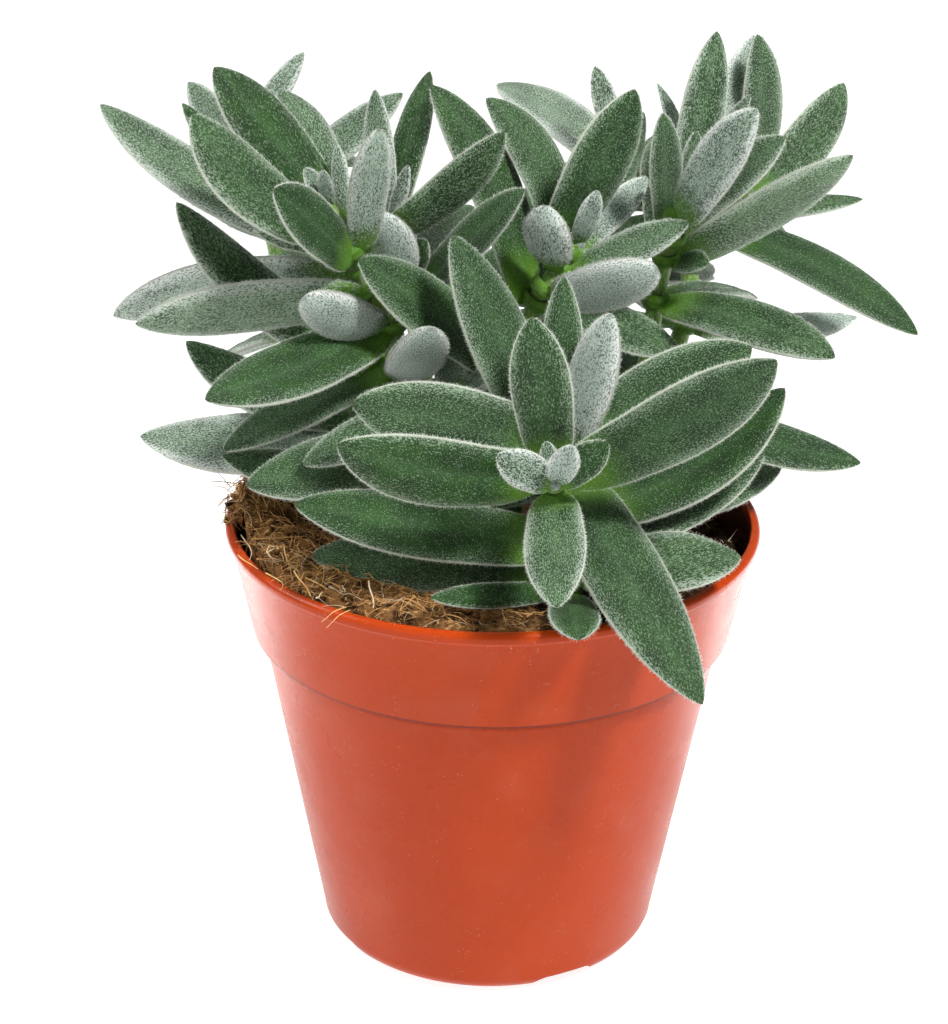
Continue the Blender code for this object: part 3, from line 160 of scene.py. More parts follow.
# every node: (name, (u, v, depth), [leaves]); nodes run from the substrate up, and
# the tip carries the youngest pairs and the terminal bud
STEMS = [
    # front cutting: rises at the pot's front and nods towards the viewer
    dict(name="stem_front", r=1.6, foot=(12.0, -20.0), nodes=[
        ("front_leaves_a", (567, 587, -24), [L(578, 638, 15, 7.4, 1, 0.5, y=-43), L(430, 598, 24, 4.4, 1, 0.5, bow=0.4)]),
        ("front_leaves_b", (569, 569, -23), [L(311, 555, 41, 10.8, 1, 1.0, y=-17, bow=0.5, thick=0.22), L(741, 556, 30, 10.4, 1, 1.5, y=-20, bow=-0.5, thick=0.20)]),
        ("front_leaves_c", (571, 545, -23), [L(294, 504, 43, 11.0, 1, -1.0, y=-27, thick=0.22), L(764, 451, 36, 9.0, -1, -0.5, y=-8, bow=-1.0, thick=0.25)]),
        ("front_leaves_d", (571, 511, -18.5), [L(785, 388, 39, 11.0, -1, -2.0, y=-10, bow=-2.2), L(782, 466, 38, 8.5, -1, -0.5, y=4, bow=-1.2)]),
        ("front_leaves_e", (568, 474, -17.5), [L(452, 235, 40, 11, -1, 0.5, y=-10), L(703, 713, 45, 12.5, 1, 3.5, y=-50, bow=-3.0)]),
        ("front_leaves_f", (563, 446, -21), [L(352, 403, 33, 11.6, 1, 1.2, y=-24), L(752, 347, 34, 11.5, -1, -1.5, y=-15)]),
        ("front_leaves_g", (561, 464, -25), [L(612, 313, 26, 8.5, 1, 0.5, 150, y=-31), L(564, 276, 32, 6.5, -1, 0.5, y=-22)]),
        ("front_leaves_h", (558, 482, -28.5), [L(337, 444, 36, 11.2, 1, 0.0, bow=1.8), L(777, 360, 39, 11.0, 1, -2.0, bow=-1.6)]),
        ("front_leaves_i", (553, 478, -32.5), [L(532, 317, 26, 9.0, 1, 0.5, y=-36), L(557, 608, 24, 9.0, 1, 1.0)]),
    ], tip=dict(name="front_bud", at=(555, 485, -37.5), leaves=[
        L(497, 455, 10, 5.8, 1, 0.5), L(608, 442, 10, 5.4, 1, 0.3), L(546, 441, 8, 3.0, 1, 0.2, y=-37), L(570, 449, 9, 4.8, 1, 0.3, 12, y=-42.0)])),
    # low left cutting, mostly hidden behind the front one
    dict(name="stem_low_left", r=1.5, foot=(-4.0, -5.0), nodes=[
        ("low_left_leaves_a", (464, 505, -6), [L(222, 456, 41, 9, 1, -1.0, y=-3), P(90, 5, 31, 9, 1.5), P(-10, 5, 30, 9, 1.0)]),
        ("low_left_leaves_b", (467, 462, -7), [L(303, 481, 28, 7.5, 1, 0.5, y=-20), P(90, 5, 28, 8, 1.5)]),
        ("low_left_leaves_c", (466, 432, -8), [L(246, 485, 38, 11.5, 1, 1.0, y=-14, bow=0.8), P(90, 5, 30, 9, 1.5)]),
    ], tip=dict(name="low_left_tip", at=(452, 398, -9), leaves=[
        P(115, 30, 12, 6), L(303, 465, 28, 7.5, 1, 0.5, y=-17), P(60, 40, 14, 7)])),
    # left cutting
    dict(name="stem_left", r=1.6, foot=(-14.0, 6.0), nodes=[
        ("left_leaves_a", (402, 412, 6), [L(140, 436, 43, 11.4, 1, 0.5, y=0, bow=3.0), L(186, 341, 36, 9.4, 1, 1.0, y=10, bow=4.0), P(130, 20, 25, 8.5, 2.0), P(110, -15, 30, 9, 1.5)]),
        ("left_leaves_b", (396, 368, 4), [L(176, 202, 44, 9.5, -1, 0.5, y=9, bow=3.5), L(432, 327, 24, 8.5, 1, -1.0, 150, blunt=0.5, y=-17), P(210, -15, 29, 9, 1.0)]),
        ("left_leaves_c", (392, 322, 0), [L(205, 400, 34, 10.8, 1, 1.0, bow=1.2), L(303, 297, 19, 8.2, 1, -1.0, 150, blunt=0.5)]),
        ("left_leaves_d", (374, 290, -2), [L(135, 324, 39, 10.0, 1, 1.0, 136, y=-8)]),
        ("left_leaves_e", (362, 272, 3), [L(113, 316, 40, 10.2, -1, 1.0, 145, y=13, bow=-1.4), P(110, -15, 28, 8.5, 1.5)]),
        ("left_leaves_f", (350, 252, 0), [L(273, 190, 28, 9.0, 1, 0.5), L(378, 128, 21, 6.8, 1, 0.5, 150, y=-3)]),
        ("left_leaves_g", (341, 237, 2), [L(100, 104, 44, 8.8, -1, 1.0, y=12, bow=2.5), L(252, 223, 16, 6.5, -1, 0.5, y=2), L(207, 205, 23, 6.5, -1, 0.5, y=9), P(110, 25, 30, 8.5, 1.5)]),
        ("left_leaves_h", (334, 224, 0), [L(192, 114, 33, 10.5, 1, 0.5, y=-4, bow=2.5), L(337, 145, 14, 3.2, -1, 0.3, y=6)]),
    ], tip=dict(name="left_bud", at=(329, 208, 4), leaves=[
        L(214, 67, 34, 10.4, 1, 0.5, y=11), L(279, 90, 24, 8.6, -1, 0.5, y=18, bow=-1.2), L(304, 168, 8, 3.4, 1, 0.2), L(324, 170, 7, 3, 1, 0.2)])),
    # second left cutting, just inside the first
    dict(name="stem_left_inner", r=1.5, foot=(-8.0, 12.0), nodes=[
        ("left_inner_leaves_a", (410, 290, 7), [L(525, 189, 27, 7.0, 1, 0.5, y=-6), L(470, 205, 30, 11, -1, 0.5, y=28), P(10, -15, 32, 9, 1.5)]),
        ("left_inner_leaves_b", (402, 270, 8), [L(372, 211, 12, 6.8, 1, -0.5, 150, y=0), L(427, 240, 8, 4.5, 1, 0.3, y=4), P(90, -15, 31, 8.5, 1.5)]),
    ], tip=dict(name="left_inner_bud", at=(387, 232, 5.5), leaves=[
        L(430, 71, 30, 6.2, -1, 0.5, y=17), L(504, 131, 27, 7.0, 1, 0.5, 150, y=-2, bow=-1.5), L(375, 89, 26, 5.2, -1, 0.5, y=11), L(409, 165, 13, 3.0, 1, 0.2, y=3)])),
    # middle cutting
    dict(name="stem_middle", r=1.6, foot=(3.0, 4.0), nodes=[
        ("middle_leaves_a", (521, 368, 1), [L(358, 259, 34, 10.5, 1, 0.5, y=-5), P(90, -15, 30, 9, 1.5), P(190, -15, 26, 8, 1.0)]),
        ("middle_leaves_b", (538, 300, 2), [L(430, 85, 39, 9.4, -1, 0.5, y=10, bow=-2.4), L(680, 352, 26, 8, -1, 0.5, y=6)]),
        ("middle_leaves_c", (546, 288, 0.5), [L(658, 268, 20, 8.5, 1, -1.0, 150, blunt=0.5)]),
        ("middle_leaves_d", (558, 270, 2.5), [L(547, 205, 14, 8.2, 1, -1.0, 150, blunt=0.7, y=-3), L(689, 223, 22, 6.5, 1, 0.5, y=1), P(50, 5, 30, 8.5, 1.5)]),
        ("middle_leaves_e", (571, 252, 4), [L(635, 89, 30, 10, -1, 0.5, y=10), L(486, 98, 30, 8.5, -1, 0.5, y=16, bow=-2.5), L(550, 168, 15, 3.5, -1, 0.3)]),
    ], tip=dict(name="middle_bud", at=(579, 246, 4), leaves=[
        L(644, 112, 24, 7, -1, 0.5, y=14), L(597, 190, 10, 4.0, 1, 0.3), L(610, 234, 6, 4, 1, 0.2), L(648, 177, 16, 5, -1, 0.3)])),
    # right cutting
    dict(name="stem_right", r=1.4, foot=(21.0, 9.0), nodes=[
        ("right_leaves_a", (642, 396, 6), [L(861, 463, 38, 8.2, 1, 0.5, y=0, bow=-1.5), P(100, 5, 25, 8.5, 2.0), P(50, -15, 30, 9, 1.5)]),
        ("right_leaves_b", (656, 300, 10), [L(835, 358, 32, 9.6, 1, 1.2, 36, bow=0.4), P(130, 5, 30, 9, 1.5), P(50, -15, 26, 8, 1.5)]),
        ("right_leaves_c", (666, 256, 9.5), [L(853, 155, 36, 8.4, 1, 0.5, 140, y=4, bow=-0.8), L(709, 264, 14, 4.5, 1, 0.5, y=3), P(90, 25, 26, 8, 1.5)]),
        ("right_leaves_d", (672, 236, 7), [L(662, 113, 21, 6.0, -1, 0.5, y=8)]),
        ("right_leaves_e", (677, 219, 5), [L(758, 109, 26, 8.6, 1, 1.0, y=-8), L(786, 137, 26, 7.5, 1, 1.0, y=-4)]),
    ], tip=dict(name="right_bud", at=(682, 208, 11), leaves=[
        L(717, 31, 30, 8.0, -1, 0.5, y=17), L(754, 35, 31, 6.5, -1, 0.5, y=27), L(657, 83, 21, 3.2, 1, 0.2, y=23, bow=-1.5), L(648, 178, 9, 4.2, 1, 0.3, y=6),
        L(696, 130, 13, 4, 1, 0.2), L(751, 94, 22, 4, 1, 0.2)])),
    # cuttings at the back
    dict(name="stem_back_left", r=1.5, foot=(-17.0, 22.0), nodes=[
        ("back_left_leaves_a", (300, 330, 30), [P(150, -30, 18, 8), P(50, 0, 32, 9), P(90, -15, 32, 9, 2.0), P(-10, -15, 30, 9, 1.5)]),
        ("back_left_leaves_b", (264, 200, 32), [L(403, 93, 34, 7.5, 1, 0.5, y=36), L(182, 103, 18, 4.5, 1, 0.3, y=28), P(70, -15, 32, 9, 1.5), P(110, -15, 30, 8.5, 2.0)]),
    ], tip=dict(name="back_left_bud", at=(238, 152, 34), leaves=[
        L(304, 52, 20, 5.2, 1, 0.5, y=38), L(188, 82, 14, 6.0, 1, 0.3, y=33), P(100, 0, 18, 6), P(200, 20, 8, 4), P(30, -15, 24, 7, 1.5)])),
    dict(name="stem_back_middle", r=1.5, foot=(4.0, 24.0), nodes=[
        ("back_middle_leaves_a", (604, 280, 32), [P(120, 0, 34, 9), P(60, -10, 30, 9), L(478, 262, 22, 10, -1, 0.5, y=26), P(90, 5, 32, 9, 2.0)]),
        ("back_middle_leaves_b", (628, 172, 32), [L(497, 84, 30, 9.2, -1, 0.5, bow=-1.4), P(90, -10, 28, 8), L(520, 205, 22, 10, -1, 0.5, y=27), P(50, 5, 29, 8.5, 1.5)]),
    ], tip=dict(name="back_middle_bud", at=(620, 152, 31), leaves=[
        L(595, 66, 17, 4.2, -1, 0.5, y=38), P(100, 0, 12, 5), P(60, 30, 8, 4), P(170, 20, 8, 4)])),
    dict(name="stem_back_right", r=1.5, foot=(21.0, 22.0), nodes=[
        ("back_right_leaves_a", (684, 325, 27), [L(857, 317, 27, 6.5, -1, 0.5, 35, y=30, bow=-1.5), P(110, -5, 30, 9), P(50, -15, 32, 9, 2.0), P(190, 5, 29, 9, 1.0)]),
        ("back_right_leaves_b", (690, 262, 29), [P(100, -15, 30, 8), P(75, -35, 12, 5), P(90, 5, 31, 9, 1.5)]),
        ("back_right_leaves_c", (702, 218, 30), [L(863, 199, 26, 5.2, 1, 0.5, 55, y=32), L(918, 335, 44, 8.2, 1, 1.0, y=17, bow=1.5), P(150, -10, 19, 7), P(70, -15, 26, 8, 1.5), P(130, -15, 30, 8.5, 1.5)]),
    ], tip=dict(name="back_right_bud", at=(750, 196, 23), leaves=[
        L(844, 83, 24, 8.4, -1, 0.5, y=34, bow=-1.5), P(110, -15, 20, 7), L(757, 34, 27, 7.6, -1, 0.5, y=20, bow=-1.2), P(110, 10, 9, 4), P(85, 25, 27, 8.0, 1.5)])),
]


# node pairs whose leaf bases crowd together: (younger, older)
CROWDED = [("left_inner_bud", "left_leaves_e"), ("middle_bud", "middle_leaves_e"),
           ("middle_leaves_e", "middle_leaves_d"), ("front_leaves_c", "front_leaves_b"),
           ("front_leaves_b", "front_leaves_a")]


# ---------------------------------------------------------------- curves and frames
def spline(points, per_span=5):
    """Catmull-Rom curve through the points."""
    pts = [np.asarray(p, float) for p in points]
    ext = [2 * pts[0] - pts[1]] + pts + [2 * pts[-1] - pts[-2]]
    out = []
    for i in range(1, len(ext) - 2):
        p0, p1, p2, p3 = ext[i - 1], ext[i], ext[i + 1], ext[i + 2]
        for k in range(per_span):
            t = k / per_span
            out.append(0.5 * (2 * p1 + (p2 - p0) * t + (2 * p0 - 5 * p1 + 4 * p2 - p3) * t * t
                              + (3 * p1 - p0 - 3 * p2 + p3) * t ** 3))
    out.append(pts[-1])
    return np.array(out)


def rotate(v, axis, angle):
    axis = unit(axis)
    return (v * math.cos(angle) + np.cross(axis, v) * math.sin(angle)
            + axis * np.dot(axis, v) * (1 - math.cos(angle)))


def reach(leaf, base):
    """Chord of a leaf from its base to its tip."""
    if "polar" in leaf:
        return polar(*leaf["polar"], leaf["length"])
    if leaf["y"] is not None:
        return at(*leaf["uv"], leaf["y"]) - base
    return aim(base, *leaf["uv"], leaf["length"], leaf["near"])


def facing(leaf, chord, axis):
    """Direction of the upper face at the leaf's middle."""
    t = unit(chord)
    n = axis - np.dot(axis, t) * t
    n = unit(n) if np.linalg.norm(n) > 0.05 else unit(np.array([0, 0, 1.0]) - t * t[2])
    if "uv" in leaf:
        # swing the upper face round the chord until enough of it shows
        face = unit(-FORWARD + np.dot(FORWARD, t) * t)
        swing = math.atan2(float(np.dot(np.cross(face, n), t)), float(np.dot(face, n)))
        most = math.radians(leaf["show"])
        if leaf["show"] > 90.0:
            swing = math.copysign(max(abs(swing), most), swing)
        else:
            swing = math.copysign(min(abs(swing), most), swing)
        n = rotate(face, t, swing)
    return n


def grow():
    """Turns the layout into stems and leaves in space."""
    stems, leaves = [], []
    for spec in STEMS:
        nodes = [at(*n[1]) for n in spec["nodes"]]
        tip = at(*spec["tip"]["at"])
        fx, fy = spec["foot"]
        foot = [np.array([fx, fy, SOIL_TOP - 11.0]), np.array([fx, fy, SOIL_TOP - 3.0])]
        path = foot + nodes + [tip]
        stems.append(dict(name=spec["name"], r=spec["r"], path=path, foot=(fx, fy)))
        groups = [(n[0], p, n[2]) for n, p in zip(spec["nodes"], nodes)]
        groups.append((spec["tip"]["name"], tip, spec["tip"]["leaves"]))
        for k, (name, point, specs) in enumerate(groups):
            i = k + 2
            ahead = path[i + 1] if i + 1 < len(path) else path[i] + (path[i] - path[i - 1])
            axis = unit(unit(ahead - path[i]) + unit(path[i] - path[i - 1]))
            last = k == len(groups) - 1
            for j, leaf in enumerate(specs):
                # chord from the node, then the base is moved to the stem's side
                chord = reach(leaf, point)
                side = unit(chord - np.dot(chord, axis) * axis)
                along = abs(float(np.dot(unit(chord), axis)))
                off = 0.5 if last else spec["r"] * 1.08 + GAP + 0.25 + girth(leaf, 0.0)[1] * along
                base = point + side * off
                chord = reach(leaf, base)
                leaves.append(dict(leaf, name="%s.%d" % (name, j), group=name, stem=spec["name"],
                                   base=base, chord=chord, n=facing(leaf, chord, axis), axis=axis, node=point,
                                   last=last, home=chord, moved=0.0, sway_tip=np.zeros(3),
                                   sway_mid=unit(np.cross(chord, FORWARD)) * leaf["bow"]))
    return stems, leaves


def midline(leaf, s):
    """Midline point, tangent, width direction and upper-face direction at s = 0..1."""
    c = (leaf["base"] + leaf["chord"] * s + leaf["n"] * leaf["arch"] * 4 * s * (1 - s)
         + leaf["sway_mid"] * 4 * s * (1 - s) + leaf["sway_tip"] * s * s)
    t = unit(leaf["chord"] + (leaf["n"] * leaf["arch"] + leaf["sway_mid"]) * 4 * (1 - 2 * s)
             + leaf["sway_tip"] * 2 * s)
    n = unit(leaf["n"] - np.dot(leaf["n"], t) * t)
    return c, t, np.cross(t, n), n


def girth(leaf, s):
    """Half width, upper and lower half thickness at s."""
    w = leaf["width"] * 0.5
    if s < 0.5:
        f = 0.42 + 0.58 * math.sin(math.pi * s) ** 0.8
    else:
        x = (s - 0.5) / 0.5
        f = max(0.0, 1 - x ** 2.3) ** leaf["blunt"]
    g = 0.86 + 0.14 * math.sin(math.pi * min(1.0, s * 1.6)) if s < 0.62 else 1.0
    th = leaf["width"] * leaf["thick"] * g * min(1.0, f * 1.15) ** 0.8
    return w * f, th * 0.36, th * 0.64


RAIL = np.linspace(0.0, 1.0, 12)
PROBE = np.array([0.12, 0.22, 0.33, 0.44, 0.55, 0.66, 0.77, 0.87, 0.95])
RING = np.array([(1, 0), (0.7, 0.7), (0, 1), (-0.7, 0.7), (-1, 0), (-0.7, -0.7), (0, -1), (0.7, -0.7)], float)


def frames(base, chord, nrm, arch, mid, end, stations):
    """Midline frames of many leaves at once, as in midline()."""
    s = stations[None, :, None]
    bow = (nrm * arch[:, None] + mid)[:, None, :]
    c = base[:, None, :] + chord[:, None, :] * s + bow * 4 * s * (1 - s) + end[:, None, :] * s * s
    t = chord[:, None, :] + bow * 4 * (1 - 2 * s) + end[:, None, :] * 2 * s
    t = t / np.linalg.norm(t, axis=2, keepdims=True)
    n = nrm[:, None, :] - (nrm[:, None, :] * t).sum(2, keepdims=True) * t
    n = n / np.linalg.norm(n, axis=2, keepdims=True)
    return c, t, np.cross(t, n), n


def skin(frame, g):
    """Points on the skin of the leaves at the probe stations."""
    c, t, w, n = frame
    half = np.where(RING[:, 1] > 0, 1, 2)
    pts = (c[:, :, None, :] + w[:, :, None, :] * (g[:, :, 0:1] * RING[:, 0])[..., None]
           + n[:, :, None, :] * (g[:, :, half] * RING[:, 1])[..., None])
    return pts.reshape(len(c), -1, 3)


def dips(rail, g, pts):
    """For skin points against leaves (row by row): how far each point is inside."""
    c, t, w, n = rail
    diff = pts[:, :, None, :] - c[:, None, :, :]
    near = (diff ** 2).sum(3).argmin(2)
    row = np.arange(len(c))[:, None]
    rel = pts - c[row, near]
    lt = np.abs((rel * t[row, near]).sum(2))
    lw = (rel * w[row, near]).sum(2)
    ln = (rel * n[row, near]).sum(2)
    a = g[row, near, 0] + 0.30
    h = np.where(ln > 0, g[row, near, 1], g[row, near, 2]) + 0.40
    full = (lw / a) ** 2 + (ln / h) ** 2
    deep = np.where((full < 1.0) & (lt < 2.6), (1.0 - np.sqrt(full)) * h, 0.0)
    return deep, near, lw, ln, a


def arrange(stems, leaves, sweeps=4):
    """Every leaf takes the nearest depth at which it is clear of its neighbours.

    The tip moves along its sight line, so it stays where the drawing has it."""
    count = len(leaves)
    groups = sorted({lf["group"] for lf in leaves})
    group = np.array([groups.index(lf["group"]) for lf in leaves])
    g_rail = np.array([[girth(lf, s) for s in RAIL] for lf in leaves])
    g_rail = np.maximum(g_rail, 0.12)
    g_probe = np.array([[girth(lf, s) for s in PROBE] for lf in leaves])
    arch = np.array([lf["arch"] for lf in leaves], float)
    zero = np.zeros((1, 3))
    base = np.array([lf["base"] for lf in leaves])
    posts, post_r, post_g = firm_points(stems, leaves, group)

    def shape(k, chord, nrm):
        one = slice(k, k + 1)
        args = (base[one], chord[None, :], nrm[None, :], arch[one], leaves[k]["sway_mid"][None, :], zero)
        rail = frames(*args, RAIL)
        return rail, skin(frames(*args, PROBE), g_probe[one])

    rails, skins = [], []
    for k, lf in enumerate(leaves):
        rail, pts = shape(k, lf["chord"], lf["n"])
        rails.append([x[0] for x in rail])
        skins.append(pts[0])
    rails = [np.array([r[m] for r in rails]) for m in range(4)]
    skins = np.array(skins)

    def cost(k, rail, pts):
        heart, reach = rail[0][0].mean(axis=0), 0.0
        reach = np.linalg.norm(rail[0][0] - heart, axis=1).max()
        others = np.linalg.norm(rails[0] - heart, axis=2).min(axis=1) < reach + 9.0
        idx = np.nonzero(others & (group != group[k]))[0]
        total = 0.0
        if len(idx):
            a = dips([r[idx] for r in rails], g_rail[idx], np.repeat(pts, len(idx), axis=0))[0]
            b = dips([np.repeat(r, len(idx), axis=0) for r in rail], np.repeat(g_rail[k:k + 1], len(idx), axis=0),
                     skins[idx])[0]
            total += float(np.maximum(a.max(axis=1), b.max(axis=1)).sum() + 0.05 * (a > 0).sum())
        keep = post_g != group[k]
        gap = np.linalg.norm(pts[0][16:, None, :] - posts[None, keep, :], axis=2) - post_r[keep]
        total += max(0.0, -float(gap.min()))
        ground = floor_under(pts[0]) - pts[0][:, 2]
        return total + max(0.0, float(ground.max()))

    for sweep in range(sweeps):
        moved = 0
        for k, lf in enumerate(leaves):
            rail = [r[k:k + 1] for r in rails]
            now = cost(k, rail, skins[k:k + 1])
            if now < 0.05:
                continue
            best, choice = now + 0.03 * abs(lf["moved"]), None
            for d in (2.0, -2.0, 4.0, -4.0, 6.0, -6.0, 8.0, -8.0):
                d += lf["moved"]
                if abs(d) > 10.0:
                    continue
                if "uv" in lf:
                    chord = at(*lf["uv"], (lf["base"] + lf["home"])[1] + d) - lf["base"]
                    stretch = np.linalg.norm(chord) / np.linalg.norm(lf["home"])
                    if not 0.72 < stretch < 1.22:
                        continue
                else:
                    chord = polar(lf["polar"][0] + 5.0 * d, lf["polar"][1] + 2.0 * d, lf["length"])
                nrm = facing(lf, chord, lf["axis"])
                rail, pts = shape(k, chord, nrm)
                value = cost(k, rail, pts) + 0.03 * abs(d)
                if value < best - 0.02:
                    best, choice = value, (chord, nrm, rail, pts, d)
            if choice:
                lf["chord"], lf["n"], lf["moved"] = choice[0], choice[1], choice[4]
                for m in range(4):
                    rails[m][k] = choice[2][m][0]
                skins[k] = choice[3][0]
                moved += 1
        if moved == 0:
            break


def firm_points(stems, leaves, group):
    """Spheres that stand for the stems and for the sheaths round them."""
    posts, radii, owner = [], [], []
    for st in stems:
        for p in spline(st["path"], 3):
            posts.append(p)
            radii.append(st["r"] * 1.08 + GAP + 0.15)
            owner.append(-1)
    seen = set()
    for k, lf in enumerate(leaves):
        if lf["group"] not in seen:
            seen.add(lf["group"])
            posts.append(lf["node"])
            radii.append(3.1 if not lf["last"] else 2.3)
            owner.append(group[k])
    return np.array(posts), np.array(radii), np.array(owner)


def floor_under(pts):
    """Height that leaf skin has to keep above, over the substrate and the rim."""
    x, y, z = pts[..., 0], pts[..., 1], pts[..., 2]
    rad = np.hypot(x, y)
    side = np.clip(-0.035 * x - 0.012 * y, -2.6, 1.7)
    lump = 0.5 * np.sin(0.31 * x + 1.3) * np.cos(0.27 * y - 0.4) + 0.35 * np.sin(0.53 * y + 0.21 * x)
    floor = np.where(rad < RIM_R - 2.4, SOIL_TOP + side + lump + 0.5, np.where(rad < RIM_R + 1.2, POT_H + 0.7, -999.0))
    return np.where((rad > RIM_R + 0.5) & (z < POT_H - 3.0), -999.0, floor)


def settle(stems, leaves, rounds=40, most=4.5):
    """Leaves that still touch bend apart, mostly along the line of sight."""
    count = len(leaves)
    get = lambda key: np.array([lf[key] for lf in leaves], float)
    base, chord, nrm, arch = get("base"), get("chord"), get("n"), get("arch")
    rest, end = get("sway_mid"), np.zeros((count, 3))
    mid = rest.copy()
    groups = sorted({lf["group"] for lf in leaves})
    group = np.array([groups.index(lf["group"]) for lf in leaves])
    size = lambda stations: np.array([[girth(lf, s) for s in stations] for lf in leaves])
    g_rail, g_probe = np.maximum(size(RAIL), 0.12), size(PROBE)
    posts, post_r, post_g = firm_points(stems, leaves, group)
    order = np.zeros((count, count))
    touching = 0
    for turn in range(rounds):
        c, t, w, n = frames(base, chord, nrm, arch, mid, end, RAIL)
        probe = frames(base, chord, nrm, arch, mid, end, PROBE)
        pc, pts = probe[0], skin(probe, g_probe)
        if turn % 8 == 0:
            heart = c.mean(axis=1)
            span = np.linalg.norm(c - heart[:, None, :], axis=2).max(axis=1) + g_rail[:, :, 0].max(axis=1) + 2.5
            far = np.linalg.norm(heart[:, None, :] - heart[None, :, :], axis=2)
            ii, jj = np.nonzero((far < span[:, None] + span[None, :]) & (group[:, None] != group[None, :]))
            away_from = np.linalg.norm(heart[:, None, :] - posts[None, :, :], axis=2) < span[:, None] + 4.0
        step_mid, step_end = np.zeros((count, 3)), np.zeros((count, 3))
        load = np.zeros(count)
        touching = 0

        def shift(k, s, vec):
            a, b = 4 * s * (1 - s), s * s
            q = a * a + b * b
            step_mid[k] += vec * a / q
            step_end[k] += vec * b / q
            load[k] += 1

        for lo in range(0, len(ii), 500):
            i, j = ii[lo:lo + 500], jj[lo:lo + 500]
            deep, near, lw, ln, wide = dips([c[i], t[i], w[i], n[i]], g_rail[i], pts[j])
            for m in np.nonzero((deep > 0).any(axis=1))[0]:
                a_i, b_j = i[m], j[m]
                k = int(deep[m].argmax())
                touching += 1
                face = n[a_i, near[m, k]]
                lean = float(np.dot(face, FORWARD))
                line = FORWARD if abs(lean) > 0.5 else face
                if order[a_i, b_j] == 0:
                    sep = float(np.dot(pc[b_j, k // 8] - c[a_i, near[m, k]], line))
                    order[a_i, b_j] = 1.0 if sep >= 0 else -1.0
                    order[b_j, a_i] = -order[a_i, b_j] if line is FORWARD else order[b_j, a_i]
                side = order[a_i, b_j]
                # distance to leave through the face that lies on the right side
                out = side * (1.0 if line is face or lean > 0 else -1.0)
                h = (g_rail[a_i, near[m, k], 1] if out > 0 else g_rail[a_i, near[m, k], 2]) + 0.40
                wall = h * math.sqrt(max(0.05, 1 - (lw[m, k] / wide[m, k]) ** 2))
                need = min(2.5, (wall - out * ln[m, k]) / max(0.5, abs(lean)) if line is not face
                           else wall - out * ln[m, k])
                push = line * side * need * 0.5
                s_i = RAIL[near[m, k]]
                if s_i < 0.16:
                    shift(b_j, PROBE[k // 8], push * 1.6)
                elif PROBE[k // 8] < 0.16:
                    shift(a_i, s_i, -push * 1.6)
                else:
                    shift(b_j, PROBE[k // 8], push)
                    shift(a_i, s_i, -push)
        # stems and sheaths, the rim and the substrate stand firm
        for k in range(count):
            keep = away_from[k] & (post_g != group[k])
            if keep.any():
                gap = np.linalg.norm(pts[k, 16:, None, :] - posts[None, keep, :], axis=2) - post_r[keep]
                if gap.min() < 0:
                    m, q = np.unravel_index(int(gap.argmin()), gap.shape)
                    away = unit(pc[k, m // 8 + 2] - posts[keep][q])
                    shift(k, PROBE[m // 8 + 2], away * (0.15 - gap[m, q]))
                    touching += 1
        sink = floor_under(pts) - pts[:, :, 2]
        for k in np.nonzero((sink > 0).any(axis=1))[0]:
            m = int(sink[k].argmax())
            shift(k, PROBE[m // 8], np.array([0.0, 0.0, min(1.5, float(sink[k, m]))]) * 0.7)
            touching += 1
        if touching == 0:
            break
        k = 0.8 / np.maximum(1.0, load * 0.5)[:, None]
        mid += step_mid * k
        end += step_end * k
        for bend, home in ((mid, rest), (end, 0.0)):
            length = np.linalg.norm(bend - home, axis=1, keepdims=True)
            bend[:] = home + (bend - home) * np.minimum(1.0, most / np.maximum(length, 1e-6))
    for k, lf in enumerate(leaves):
        lf["sway_mid"], lf["sway_tip"] = mid[k], end[k]
    return touching


def soil_height(x, y):
    """The substrate: heaped at the left front, sunk at the right."""
    side = -0.035 * x - 0.012 * y
    lump = 0.5 * math.sin(0.31 * x + 1.3) * math.cos(0.27 * y - 0.4) + 0.35 * math.sin(0.53 * y + 0.21 * x)
    return SOIL_TOP + max(-2.6, min(1.7, side)) + lump


# ---------------------------------------------------------------- looks: mesh helpers
RNG = np.random.default_rng(11)
PIECES = []
TRIS = {}


def smooth(x, a, b):
    t = np.clip((np.asarray(x, float) - a) / (b - a), 0.0, 1.0)
    return t * t * (3 - 2 * t)


def fast_mesh(name, verts, tris, attributes=None, uvs=None, flat=False):
    """Mesh of triangles from arrays, verts in mm."""
    me = bpy.data.meshes.new(name)
    verts = np.asarray(verts, np.float64) * MM
    tris = np.asarray(tris, np.int32)
    me.vertices.add(len(verts))
    me.vertices.foreach_set("co", verts.astype(np.float32).ravel())
    me.loops.add(len(tris) * 3)
    me.loops.foreach_set("vertex_index", tris.ravel())
    me.polygons.add(len(tris))
    me.polygons.foreach_set("loop_start", np.arange(0, len(tris) * 3, 3, dtype=np.int32))
    me.polygons.foreach_set("loop_total", np.full(len(tris), 3, np.int32))
    if uvs is not None:
        layer = me.uv_layers.new(name="OFBake")
        layer.data.foreach_set("uv", np.asarray(uvs, np.float32)[tris.ravel()].ravel())
    for key, value in (attributes or {}).items():
        att = me.attributes.new(key, "FLOAT_VECTOR", "POINT")
        att.data.foreach_set("vector", np.asarray(value, np.float32).ravel())
    me.update(calc_edges=True)
    me.validate()
    if not flat:
        me.shade_smooth()
    return me


def piece(name, me, mat, nodes=()):
    ob = bpy.data.objects.new(name, me)
    bpy.context.scene.collection.objects.link(ob)
    me.materials.clear()
    me.materials.append(mat)
    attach(ob, "root")
    if nodes:
        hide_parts(*nodes)
    TRIS[name] = sum(len(p.vertices) - 2 for p in me.polygons)
    PIECES.append(ob)
    return ob


